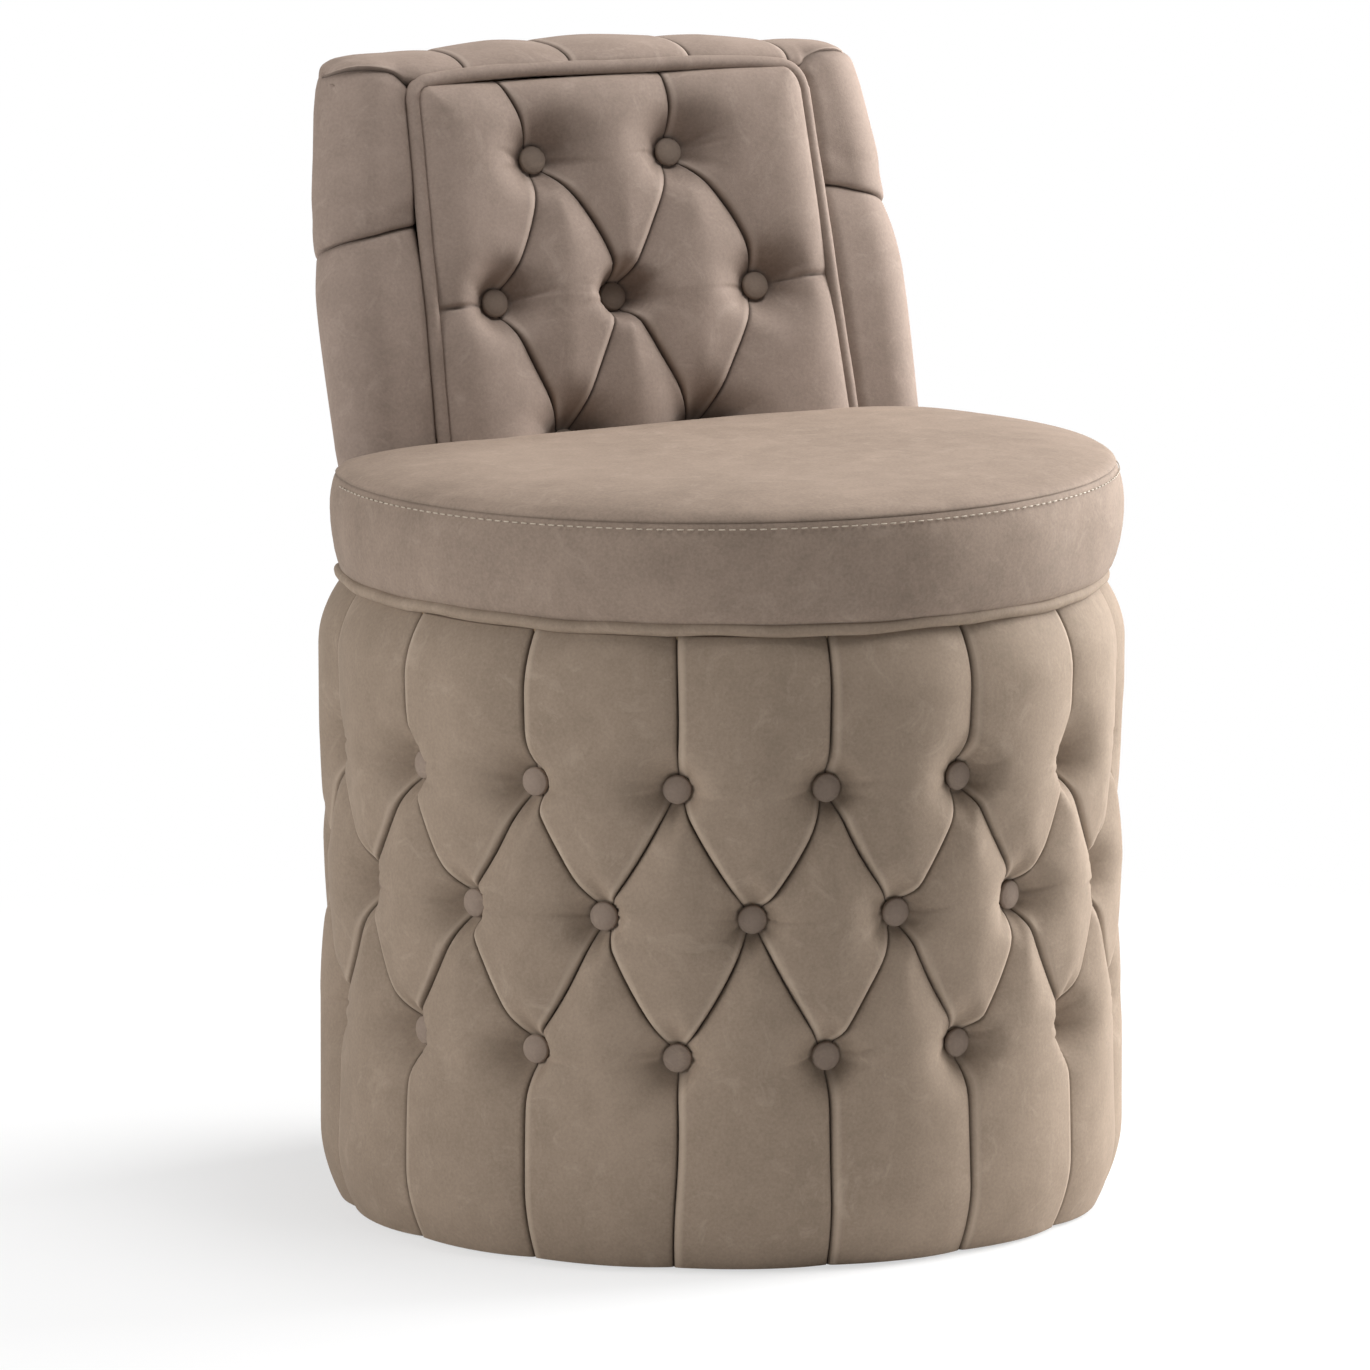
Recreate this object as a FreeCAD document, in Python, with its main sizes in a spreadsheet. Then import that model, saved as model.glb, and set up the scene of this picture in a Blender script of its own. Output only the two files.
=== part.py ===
import FreeCAD, Part
import math
import os
import Sketcher
from FreeCAD import Placement, Rotation, Vector

# Driving dimensions in millimetres, degrees and counts. The drum's axis is Z, the floor is z = 0 and
# the sitter faces -Y. Heights of the backrest's front panel are measured up along its lean.
DIMENSIONS = {
    "drum_radius": 250,
    "drum_columns": 16,
    "row_low": 131,
    "row_mid": 217,
    "row_high": 297,
    "edge_round_low": 17,
    "edge_round_high": 14,
    "tuft_depth": 20,
    "pleat_depth": 9,
    "pleat_end_depth": 5,
    "tuft_half_angle": 3.4,
    "cup_half_angle": 4.0,
    "cup_neck_angle": 2.7,
    "cup_half_height": 11,
    "cup_rise": 1.5,
    "pleat_half_angle": 0.6,
    "least_bulge": 0.5,
    "cover_thickness": 1.6,
    "glide_height": 4,
    "glide_radius": 12,
    "glide_bevel": 1,
    "glide_circle": 182,
    "glide_count": 6,
    "nail_radius": 1.5,
    "nail_length": 12,
    "dust_thickness": 0.8,
    "dust_radius": 215,
    "sleeve_radius": 214,
    "sleeve_thickness": 4,
    "ply_thickness": 18,
    "ring_inner_radius": 150,
    "deck_inner_radius": 70,
    "deck_top": 385.4,
    "hem_inner_radius": 206,
    "post_count": 6,
    "post_depth": 28,
    "post_width": 45,
    "post_gap": 2,
    "screw_radius": 2.2,
    "screw_head_radius": 4.2,
    "screw_head_height": 2.5,
    "screw_length": 50,
    "button_radius": 9,
    "button_edge": 2.4,
    "button_height": 6.6,
    "button_dome_radius": 21,
    "button_crown": 2,
    "shank_radius": 3,
    "shank_length": 1.6,
    "tie_radius": 1,
    "knot_radius": 4,
    "knot_thickness": 2,
    "seat_board_thickness": 15,
    "seat_board_radius": 233,
    "seat_bolt_circle": 150,
    "seat_bolt_count": 4,
    "seat_bolt_radius": 3,
    "seat_bolt_head_radius": 7,
    "seat_bolt_head_height": 3.5,
    "seat_bolt_end_gap": 3,
    "nut_radius": 5,
    "nut_flange_radius": 10,
    "nut_flange_height": 1.6,
    "nut_depth": 9,
    "seat_bottom": 397.6,
    "seat_bottom_radius": 240,
    "seat_seam_height": 458,
    "seat_seam_radius": 242,
    "boxing_bow_radius": 78,
    "seat_shoulder_height": 471,
    "seat_shoulder_radius": 196,
    "shoulder_bow_radius": 130,
    "seat_top": 478,
    "crown_bow_radius": 2700,
    "seat_welt_radius": 238,
    "seat_welt_height": 392.3,
    "welt_radius": 4.5,
    "seat_welt_sweep": 212,
    "seat_gap": 5.5,
    "back_lean": 15.5,
    "panel_base_depth": 102,
    "panel_base_height": 475,
    "panel_bottom": -70,
    "panel_top": 222,
    "panel_half_width_low": 144,
    "panel_half_width_high": 137,
    "panel_corner": 16,
    "panel_crest": 12,
    "panel_tuft_depth": 12,
    "panel_pleat_depth": 5,
    "panel_foam": 20,
    "panel_button_half": 12,
    "panel_row_low": -8,
    "panel_row_mid": 83,
    "panel_row_high": 172,
    "board_thickness": 6,
    "side_frame_inner": 100,
    "side_frame_rear_low": 160,
    "side_frame_rear_high": 208,
    "side_frame_top": 686,
    "rail_height": 34,
    "rail_depth": 14,
    "lower_rail_height": 422,
    "rear_board_thickness": 3,
    "bracket_leg": 32,
    "bracket_width": 20,
    "bracket_thickness": 2.5,
    "bracket_screw_length": 15,
    "back_bottom": 388,
    "back_top": 712,
    "back_row_low": 475,
    "back_row_mid": 574,
    "back_row_high": 650,
    "back_waist": 237,
    "back_rear": 249,
    "back_corner_radius": 30,
    "side_pleat_height": 600,
    "side_pleat_depth": 6,
    "side_pleat_reach": 24,
}

doc = FreeCAD.newDocument("pouf")
sheet = doc.addObject("Spreadsheet::Sheet", "dims")
for row, (alias, amount) in enumerate(DIMENSIONS.items(), start=1):
    sheet.set("A%d" % row, alias)
    sheet.set("B%d" % row, str(amount))
    sheet.setAlias("B%d" % row, alias)
doc.recompute()


def dim(alias):
    """Number in the sheet's cell of this alias."""
    return float(sheet.get(alias))


def value(expression):
    """Number that an expression over the sheet gives."""
    return float(doc.dims.evalExpression(expression.replace("dims.", "")))


# Building blocks shared by the sub-parts.
SUB_PARTS = []


def named(thing, label):
    """Gives an object its label and lists it among the sub-parts."""
    thing.Label = label
    SUB_PARTS.append(thing)
    return thing


def new_body(label):
    body = doc.addObject("PartDesign::Body", label)
    body.Label = label
    return body


def new_sketch(body, role):
    """Empty sketch on one of the body's own origin planes."""
    sketch = body.newObject("Sketcher::SketchObject", body.Label + "_sketch")
    support = next(f for f in body.Origin.OriginFeatures if f.Role == role)
    sketch.AttachmentSupport = [(support, "")]
    sketch.MapMode = "FlatFace"
    return sketch


def circle(sketch, radius, name="radius"):
    """Circle about the sketch's origin."""
    item = sketch.addGeometry(Part.Circle(Vector(), Vector(0, 0, 1), value(radius)), False)
    sketch.addConstraint(Sketcher.Constraint("Coincident", item, 3, -1, 1))
    size = sketch.addConstraint(Sketcher.Constraint("Radius", item, value(radius)))
    sketch.renameConstraint(size, name)
    sketch.setExpression("Constraints." + name, radius)


def pin(sketch, kind, item, expression, name):
    """Holds the start of a segment at a signed distance from the origin along one axis."""
    distance = value(expression)
    axis = {"DistanceX": -2, "DistanceY": -1}[kind]
    if abs(distance) < 1e-9:
        sketch.addConstraint(Sketcher.Constraint("PointOnObject", item, 1, axis))
        return
    ends = (-1, 1, item, 1) if distance > 0 else (item, 1, -1, 1)
    number = sketch.addConstraint(Sketcher.Constraint(kind, *ends, abs(distance)))
    sketch.renameConstraint(number, name)
    sketch.setExpression("Constraints." + name, expression if distance > 0 else "-(%s)" % expression)


def outline(sketch, corners, bows=None):
    """Closed outline, anticlockwise through corners given as pairs of expressions. `bows` maps the
    number of a side to the expression of its radius where that side is an arc that bows outward."""
    bows = bows or {}
    points = [Vector(value(x), value(y), 0) for x, y in corners]
    count = len(points)
    for i, start in enumerate(points):
        end = points[(i + 1) % count]
        if i in bows:
            radius = value(bows[i])
            along = end - start
            height = math.sqrt(radius ** 2 - (along.Length / 2) ** 2)
            left = Vector(-along.y, along.x, 0).normalize()
            centre = start + along * 0.5 + left * height
            angles = [math.atan2(p.y - centre.y, p.x - centre.x) for p in (start, end)]
            shape = Part.ArcOfCircle(Part.Circle(centre, Vector(0, 0, 1), radius), *angles)
        else:
            shape = Part.LineSegment(start, end)
        sketch.addGeometry(shape, False)
    for i in range(count):
        sketch.addConstraint(Sketcher.Constraint("Coincident", i, 2, (i + 1) % count, 1))
    for i, (x, y) in enumerate(corners):
        pin(sketch, "DistanceX", i, x, "x%d" % i)
        pin(sketch, "DistanceY", i, y, "y%d" % i)
    for i, radius in bows.items():
        number = sketch.addConstraint(Sketcher.Constraint("Radius", i, value(radius)))
        sketch.renameConstraint(number, "bow%d" % i)
        sketch.setExpression("Constraints.bow%d" % i, radius)


def pad(body, sketch, length, midplane=False):
    feature = body.newObject("PartDesign::Pad", body.Label + "_pad")
    feature.Profile = sketch
    feature.setExpression("Length", length)
    feature.SideType = "Symmetric" if midplane else "One side"
    doc.recompute()
    return feature


def turned(body, corners, bows=None):
    """Solid turned about the body's Z axis from an outline on its XZ plane."""
    sketch = new_sketch(body, "XZ_Plane")
    outline(sketch, corners, bows)
    feature = body.newObject("PartDesign::Revolution", body.Label + "_turned")
    feature.Profile = sketch
    feature.ReferenceAxis = (sketch, ["V_Axis"])
    feature.Angle = 360
    doc.recompute()
    return feature


def disc(label, radius, bottom, thickness, hole=None):
    """Flat round plate, or a ring where `hole` gives the radius of its opening."""
    body = new_body(label)
    sketch = new_sketch(body, "XY_Plane")
    circle(sketch, radius)
    if hole:
        circle(sketch, hole, "hole")
    pad(body, sketch, thickness)
    body.setExpression("Placement.Base.z", bottom)
    return body


def box(label, length, width, height):
    """Rectangular bar whose three sides follow expressions."""
    bar = doc.addObject("Part::Box", label)
    bar.setExpression("Length", length)
    bar.setExpression("Width", width)
    bar.setExpression("Height", height)
    return bar


def placed(shape, placement):
    copy = shape.copy()
    copy.Placement = placement.multiply(copy.Placement)
    return copy


def group(label, shape, places):
    """One node that holds a separate copy of a solid at each placement."""
    feature = doc.addObject("Part::Feature", label)
    feature.Shape = Part.makeCompound([placed(shape, place) for place in places])
    return feature


def drilled(label, base, drills):
    """The base with a set of drilled holes taken out of it."""
    tool = doc.addObject("Part::Feature", label + "_drills")
    tool.Shape = drills
    cut = doc.addObject("Part::Cut", label)
    cut.Base = base
    cut.Tool = tool
    doc.recompute()
    return cut


def formed(label, shape, placement=None):
    """Soft piece whose shape is worked out section by section."""
    feature = doc.addObject("Part::Feature", label)
    feature.Shape = shape
    if placement:
        feature.Placement = placement
    return feature


def along(position, stations):
    """Straight-line value at a position between (position, value) stations in rising order."""
    for (low, first), (high, last) in zip(stations, stations[1:]):
        if position <= high:
            return first + (last - first) * max(0.0, position - low) / (high - low)
    return stations[-1][1]


def sewn(faces):
    """Closed solid from faces that share their edges."""
    shell = Part.makeShell(faces)
    shell.sewShape()
    solid = Part.makeSolid(shell)
    if solid.Volume < 0:
        solid.reverse()
    return solid


def flat_face(wires):
    return Part.makeFace(wires, "Part::FaceMakerBullseye")


def round_wire(radius, height):
    return Part.Wire(Part.makeCircle(radius, Vector(0, 0, height)))


def tube_face(radius, low, high):
    return Part.makeLoft([round_wire(radius, low), round_wire(radius, high)], False, True).Faces


# Floor glides: steel discs nailed up into the base ring.
glide = new_body("glide")
turned(glide, [
    ("0", "0"),
    ("dims.glide_radius - dims.glide_bevel", "0"),
    ("dims.glide_radius", "dims.glide_height"),
    ("dims.nail_radius", "dims.glide_height"),
    ("dims.nail_radius", "dims.glide_height + dims.nail_length"),
    ("0", "dims.glide_height + dims.nail_length"),
])
GLIDE_PLACES = [
    Placement(Vector(), Rotation(Vector(0, 0, 1), 360 * k / dim("glide_count")))
    * Placement(Vector(0, -dim("glide_circle"), 0), Rotation())
    for k in range(int(dim("glide_count")))
]
named(group("floor_glides", glide.Shape, GLIDE_PLACES), "floor_glides")
nail_hole = Part.makeCylinder(dim("nail_radius"), dim("nail_length"), Vector(0, 0, dim("glide_height")))
NAIL_DRILLS = Part.makeCompound([placed(nail_hole, place) for place in GLIDE_PLACES])

# Dust cover under the base, then the cover's hem, then the plywood base ring on top of both.
DUST_BOTTOM = "dims.glide_height"
HEM_BOTTOM = "dims.glide_height + dims.dust_thickness"
BASE_BOTTOM = HEM_BOTTOM + " + dims.cover_thickness"
BASE_TOP = BASE_BOTTOM + " + dims.ply_thickness"
DECK_BOTTOM = "dims.deck_top - dims.ply_thickness"
CORE_RADIUS = "dims.sleeve_radius - dims.sleeve_thickness"

dust = disc("dust_sheet", "dims.dust_radius", DUST_BOTTOM, "dims.dust_thickness")
named(drilled("dust_cover", dust, NAIL_DRILLS), "dust_cover")

POST_ANGLES = [360 * (k + 0.5) / dim("post_count") for k in range(int(dim("post_count")))]
POST_CENTRE = value(CORE_RADIUS) - dim("post_depth") / 2 - dim("post_gap")


def round_place(angle, radius, height):
    """Upright placement at an angle from the front, with its X axis pointing away from the drum's axis."""
    turn = Rotation(Vector(0, 0, 1), angle - 90)
    return Placement(turn.multVec(Vector(radius, 0, 0)) + Vector(0, 0, height), turn)


# Wood screws: a pan head let into the wood on a plain shank, up through the base and down through the deck.
screw = new_body("ring_screw")
turned(screw, [
    ("0", "-dims.screw_head_height"),
    ("dims.screw_head_radius", "-dims.screw_head_height"),
    ("dims.screw_head_radius", "0"),
    ("dims.screw_radius", "0"),
    ("dims.screw_radius", "dims.screw_length"),
    ("0", "dims.screw_length"),
])
UPWARD = Rotation()
DOWNWARD = Rotation(Vector(1, 0, 0), 180)
HEAD_SINK = dim("screw_head_height")
screw_places = []
for post_angle in POST_ANGLES:
    foot = round_place(post_angle, POST_CENTRE, value(BASE_BOTTOM) + HEAD_SINK).Base
    head = round_place(post_angle, POST_CENTRE, dim("deck_top") - HEAD_SINK).Base
    screw_places += [Placement(foot, UPWARD), Placement(head, DOWNWARD)]
named(group("frame_screws", screw.Shape, screw_places), "frame_screws")
SCREW_DRILLS = Part.makeCompound([placed(screw.Shape, place) for place in screw_places])

base = disc("base_plate", CORE_RADIUS, BASE_BOTTOM, "dims.ply_thickness", "dims.ring_inner_radius")
BASE_DRILLS = Part.makeCompound([SCREW_DRILLS, NAIL_DRILLS])
named(drilled("base_ring", base, BASE_DRILLS), "base_ring")

# Softwood posts that hold the deck above the base ring.
for number, post_angle in enumerate(POST_ANGLES, start=1):
    post = box("post_bar_%d" % number, "dims.post_depth", "dims.post_width",
               DECK_BOTTOM + " - (" + BASE_TOP + ")")
    centred = Placement(Vector(-dim("post_depth") / 2, -dim("post_width") / 2, 0), Rotation())
    post.Placement = round_place(post_angle, POST_CENTRE, value(BASE_TOP)) * centred
    label = "drum_post_%d" % number
    named(drilled(label, post, SCREW_DRILLS), label)

# Tufts of the drum: staggered rows of buttons, each pulled in through the foam and the sleeve.
COLUMNS = int(dim("drum_columns"))
HALF_PITCH = 180.0 / COLUMNS
ODD_ANGLES = [(2 * k + 1) * HALF_PITCH for k in range(COLUMNS)]
EVEN_ANGLES = [2 * k * HALF_PITCH for k in range(COLUMNS)]
DRUM_TUFTS = [(angle, dim("row_low")) for angle in ODD_ANGLES]
DRUM_TUFTS += [(angle, dim("row_mid")) for angle in EVEN_ANGLES]
DRUM_TUFTS += [(angle, dim("row_high")) for angle in ODD_ANGLES]
SEAT_OF_TUFT = dim("drum_radius") - dim("tuft_depth")


def outward(angle, height, radius):
    """Placement whose Z axis points straight away from the drum's axis."""
    turn = math.radians(angle)
    way = Vector(math.sin(turn), -math.cos(turn), 0)
    return Placement(way * radius + Vector(0, 0, height), Rotation(Vector(0, 0, 1), way))


# Covered button: a domed cap on a short shank that bears on the leather.
button = new_body("covered_button")
turned(button, [
    ("0", "0"),
    ("dims.shank_radius", "0"),
    ("dims.shank_radius", "dims.shank_length"),
    ("dims.button_radius", "dims.shank_length"),
    ("dims.button_radius", "dims.shank_length + dims.button_edge"),
    ("dims.button_crown", "dims.button_height"),
    ("0", "dims.button_height"),
], {4: "dims.button_dome_radius"})
BUTTON_CLEARANCE = 2.0
named(group("drum_buttons", button.Shape, [
    outward(angle, height, SEAT_OF_TUFT + BUTTON_CLEARANCE) for angle, height in DRUM_TUFTS
]), "drum_buttons")

# Ties: twine from the leather behind each button to a knot on the inside of the sleeve.
TIE_START = value(CORE_RADIUS) - dim("knot_thickness")
TIE_END = SEAT_OF_TUFT - dim("cover_thickness") - BUTTON_CLEARANCE


def tie(length):
    knot = Part.makeCylinder(dim("knot_radius"), dim("knot_thickness"))
    return knot.fuse(Part.makeCylinder(dim("tie_radius"), length)).removeSplitter()


drum_tie_places = [outward(angle, height, TIE_START) for angle, height in DRUM_TUFTS]
named(group("drum_ties", tie(TIE_END - TIE_START), drum_tie_places), "drum_ties")
tie_hole = Part.makeCylinder(dim("tie_radius"), TIE_END - TIE_START)
TIE_DRILLS = Part.makeCompound([placed(tie_hole, place) for place in drum_tie_places])

# Hardboard sleeve bent round the base ring and the deck, drilled for the ties.
sleeve = disc("sleeve_tube", "dims.sleeve_radius", BASE_BOTTOM,
              "dims.deck_top - (" + BASE_BOTTOM + ")", CORE_RADIUS)
named(drilled("drum_sleeve", sleeve, TIE_DRILLS), "drum_sleeve")

# Tufted leather of the drum: bulges between pleats that leave each button of an odd column to both
# sides and meet at the buttons of the even columns.
DRUM_LOW = value(HEM_BOTTOM)
DRUM_HIGH = dim("deck_top") + dim("cover_thickness")
EDGE_REACH = 46.0
CUP = dim("cup_half_height")
ROW_HALF = dim("tuft_half_angle")


def pleat_openings(low, rows, high):
    """Half angle between the two pleats of an odd column, by height: nearly closed at both ends, as
    wide as a button at the outer rows and almost the full pitch at the row between them."""
    first, middle, last = rows
    neck, cup = dim("cup_neck_angle"), dim("cup_half_angle")
    return [
        (low, dim("pleat_half_angle")),
        (first - CUP, neck),
        (first, ROW_HALF),
        (first + CUP, cup),
        (middle - CUP, HALF_PITCH - cup),
        (middle, HALF_PITCH - ROW_HALF),
        (middle + CUP, HALF_PITCH - cup),
        (last - CUP, cup),
        (last, ROW_HALF),
        (last + CUP, neck),
        (high, dim("pleat_half_angle")),
    ]


def pleat_depths(low, rows, high, deep, shallow, low_end, high_end):
    """Depth of the pleats below the crest, by height: deepest in a cup round each row of buttons."""
    stations = [(low, low_end)]
    for number, row in enumerate(rows):
        if number:
            stations.append(((rows[number - 1] + row) / 2, shallow))
        stations += [(row - CUP, deep - dim("cup_rise")), (row, deep), (row + CUP, deep - dim("cup_rise"))]
    return stations + [(high, high_end)]


def section_heights(low, rows, high, between):
    """Heights of the sections: three at each row of buttons and evenly spaced ones between the rows."""
    stops = [low] + [row + step for row in rows for step in (-CUP, 0.0, CUP)] + [high]
    heights = [low]
    for start, end in zip(stops, stops[1:]):
        parts = 1 if end - start <= CUP else between
        heights += [start + (end - start) * (k + 1) / parts for k in range(parts)]
    return heights


DRUM_ROWS = (dim("row_low"), dim("row_mid"), dim("row_high"))
OPENINGS = pleat_openings(DRUM_LOW, DRUM_ROWS, DRUM_HIGH)
DEPTHS = pleat_depths(DRUM_LOW, DRUM_ROWS, DRUM_HIGH, dim("tuft_depth"), dim("pleat_depth"),
                      dim("pleat_end_depth"), dim("pleat_end_depth"))


def rounded_in(gap, reach, amount):
    """How far a rounded edge has drawn in at a distance `gap` from its end."""
    return amount * max(0.0, 1.0 - gap / reach) ** 2


def crest_radius(z):
    low = rounded_in(z - DRUM_LOW, EDGE_REACH, dim("edge_round_low"))
    high = rounded_in(DRUM_HIGH - z, EDGE_REACH, dim("edge_round_high"))
    return dim("drum_radius") - low - high


BULGE_POWER = 0.8


def swell(width, narrowest, widest):
    """Share of the full bulge that a stretch of this width between two pleats has."""
    return min(1.0, max(0.0, (width - narrowest) / (widest - narrowest))) ** BULGE_POWER


def polar(angle, radius, z):
    turn = math.radians(angle)
    return Vector(radius * math.sin(turn), -radius * math.cos(turn), z)


def bulge(start, middle, end):
    return Part.Arc(start, middle, end).toShape()


def drum_section(z, inset):
    """Outline of the drum's leather at height z, drawn in by `inset`."""
    opening = along(z, OPENINGS)
    crest = crest_radius(z) - inset
    pleat = crest - along(z, DEPTHS)
    edges = []
    for odd in ODD_ANGLES:
        stops = (odd - opening, odd + opening, odd + 2 * HALF_PITCH - opening)
        for start, end in zip(stops, stops[1:]):
            share = swell(end - start, 2 * ROW_HALF, 2 * HALF_PITCH - 2 * ROW_HALF)
            rise = max(dim("least_bulge"), (crest - pleat) * share)
            edges.append(bulge(polar(start, pleat, z), polar((start + end) / 2, pleat + rise, z),
                               polar(end, pleat, z)))
    return Part.Wire(edges)


DRUM_HEIGHTS = section_heights(DRUM_LOW, DRUM_ROWS, DRUM_HIGH, 3)
BASE_LEVEL = value(BASE_BOTTOM)
outer_wires = [drum_section(z, 0.0) for z in DRUM_HEIGHTS]
inner_heights = [BASE_LEVEL] + DRUM_HEIGHTS[1:-1] + [dim("deck_top")]
inner_wires = [drum_section(z, dim("cover_thickness")) for z in inner_heights]
outer_skin = Part.makeLoft(outer_wires, False, True).Faces
inner_skin = Part.makeLoft(inner_wires, False, True).Faces
HEM_RADIUS = dim("hem_inner_radius")
cover_faces = outer_skin + inner_skin
cover_faces.append(flat_face([outer_wires[0], round_wire(HEM_RADIUS, DRUM_LOW)]))
cover_faces.append(flat_face([inner_wires[0], round_wire(HEM_RADIUS, BASE_LEVEL)]))
cover_faces += tube_face(HEM_RADIUS, DRUM_LOW, BASE_LEVEL)
cover_faces.append(flat_face([inner_wires[-1], round_wire(HEM_RADIUS, dim("deck_top"))]))
cover_faces.append(flat_face([outer_wires[-1], round_wire(HEM_RADIUS, DRUM_HIGH)]))
cover_faces += tube_face(HEM_RADIUS, dim("deck_top"), DRUM_HIGH)
named(formed("drum_cover", sewn(cover_faces)), "drum_cover")

# Foam between the sleeve and the leather.
foam_faces = list(inner_skin)
foam_faces.append(flat_face([inner_wires[0], round_wire(dim("sleeve_radius"), BASE_LEVEL)]))
foam_faces.append(flat_face([inner_wires[-1], round_wire(dim("sleeve_radius"), dim("deck_top"))]))
foam_faces += tube_face(dim("sleeve_radius"), BASE_LEVEL, dim("deck_top"))
drum_foam = formed("drum_foam_ring", sewn(foam_faces))
named(drilled("drum_foam", drum_foam, TIE_DRILLS), "drum_foam")

# Seat bolts up through the deck into tee nuts in the seat board.
SEAT_BOARD_BOTTOM = "dims.deck_top + dims.cover_thickness"
SEAT_BOARD_TOP = SEAT_BOARD_BOTTOM + " + dims.seat_board_thickness"
bolt = new_body("seat_bolt")
turned(bolt, [
    ("0", DECK_BOTTOM + " - dims.seat_bolt_head_height"),
    ("dims.seat_bolt_head_radius", DECK_BOTTOM + " - dims.seat_bolt_head_height"),
    ("dims.seat_bolt_head_radius", DECK_BOTTOM),
    ("dims.seat_bolt_radius", DECK_BOTTOM),
    ("dims.seat_bolt_radius", SEAT_BOARD_TOP + " - dims.seat_bolt_end_gap"),
    ("0", SEAT_BOARD_TOP + " - dims.seat_bolt_end_gap"),
])
nut = new_body("tee_nut")
turned(nut, [
    ("dims.seat_bolt_radius", SEAT_BOARD_TOP + " - dims.nut_depth"),
    ("dims.nut_radius", SEAT_BOARD_TOP + " - dims.nut_depth"),
    ("dims.nut_radius", SEAT_BOARD_TOP + " - dims.nut_flange_height"),
    ("dims.nut_flange_radius", SEAT_BOARD_TOP + " - dims.nut_flange_height"),
    ("dims.nut_flange_radius", SEAT_BOARD_TOP),
    ("dims.seat_bolt_radius", SEAT_BOARD_TOP),
])
# Quarters of the seat that have a bolt; the rear one lies under the backrest.
BOLT_QUARTERS = (0, 1, 3)
BOLT_PLACES = [
    Placement(polar(360 * k / dim("seat_bolt_count"), dim("seat_bolt_circle"), 0), Rotation())
    for k in BOLT_QUARTERS
]
named(group("seat_bolts", bolt.Shape, BOLT_PLACES), "seat_bolts")
named(group("seat_tee_nuts", nut.Shape, BOLT_PLACES), "seat_tee_nuts")
BOLT_DRILLS = Part.makeCompound([placed(bolt.Shape, place) for place in BOLT_PLACES])
nut_bore = Part.makeCylinder(dim("seat_bolt_radius"), dim("nut_depth"),
                             Vector(0, 0, value(SEAT_BOARD_TOP) - dim("nut_depth")))
NUT_DRILLS = Part.makeCompound([placed(nut.Shape.fuse(nut_bore), place) for place in BOLT_PLACES])

# Angle brackets that hold the backrest's side frames down on the deck.
bracket = new_body("angle_bracket")
outline(new_sketch(bracket, "XZ_Plane"), [
    ("-dims.bracket_leg", "0"),
    ("0", "0"),
    ("0", "dims.bracket_leg"),
    ("-dims.bracket_thickness", "dims.bracket_leg"),
    ("-dims.bracket_thickness", "dims.bracket_thickness"),
    ("-dims.bracket_leg", "dims.bracket_thickness"),
])
pad(bracket, bracket.Group[0], "dims.bracket_width", midplane=True)
bracket_screw = new_body("bracket_screw")
turned(bracket_screw, [
    ("0", "-dims.bracket_screw_length"),
    ("dims.screw_radius", "-dims.bracket_screw_length"),
    ("dims.screw_radius", "0"),
    ("dims.screw_head_radius", "0"),
    ("dims.screw_head_radius", "dims.screw_head_height"),
    ("0", "dims.screw_head_height"),
])
SIDE_FRAME = dim("side_frame_inner")
BRACKET_DEPTHS = (127.0, 149.0)
bracket_places = []
bracket_screw_places = []
for side_turn, side in ((0, 1), (180, -1)):
    for depth in BRACKET_DEPTHS:
        corner = Placement(Vector(side * SIDE_FRAME, depth, dim("deck_top")),
                           Rotation(Vector(0, 0, 1), side_turn))
        bracket_places.append(corner)
        middle = -(dim("bracket_leg") + dim("bracket_thickness")) / 2
        flat = Vector(middle, 0, dim("bracket_thickness"))
        upright = Vector(-dim("bracket_thickness"), 0, -middle)
        bracket_screw_places.append(corner * Placement(flat, Rotation()))
        bracket_screw_places.append(corner * Placement(upright, Rotation(Vector(0, 1, 0), -90)))
bracket_screws = group("back_bracket_screws", bracket_screw.Shape, bracket_screw_places)
BRACKET_DRILLS = bracket_screws.Shape
named(bracket_screws, "back_bracket_screws")
bracket_blanks = group("bracket_blanks", bracket.Shape, bracket_places)
named(drilled("back_brackets", bracket_blanks, BRACKET_DRILLS), "back_brackets")

# Plywood deck on the posts, under the seat and the backrest.
deck = disc("deck_plate", CORE_RADIUS, DECK_BOTTOM, "dims.ply_thickness", "dims.deck_inner_radius")
DECK_DRILLS = Part.makeCompound([SCREW_DRILLS, BOLT_DRILLS, BRACKET_DRILLS])
named(drilled("drum_deck", deck, DECK_DRILLS), "drum_deck")

# Seat board: a round plywood board with its rear cut straight in front of the backrest.
BOARD_CHORD = 72.0
seat_disc = disc("seat_disc", "dims.seat_board_radius", SEAT_BOARD_BOTTOM, "dims.seat_board_thickness")
WIDE = 600.0
rear_cut = Part.makeBox(WIDE, WIDE, WIDE, Vector(-WIDE / 2, BOARD_CHORD, dim("deck_top")))
SEAT_BOARD_DRILLS = Part.makeCompound([BOLT_DRILLS.fuse(NUT_DRILLS), rear_cut])
named(drilled("seat_board", seat_disc, SEAT_BOARD_DRILLS), "seat_board")

# Backrest plane: X across, Y up along the lean, Z straight out towards the sitter.
PANEL = Placement(Vector(0, dim("panel_base_depth"), dim("panel_base_height")),
                  Rotation(Vector(1, 0, 0), 90 - dim("back_lean")))


def behind_panel(offset):
    """Block that fills everything further back than a plane `offset` in front of the backrest plane."""
    block = Part.makeBox(WIDE, 2 * WIDE, WIDE, Vector(-WIDE / 2, -WIDE, offset - WIDE))
    return placed(block, PANEL)


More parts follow.
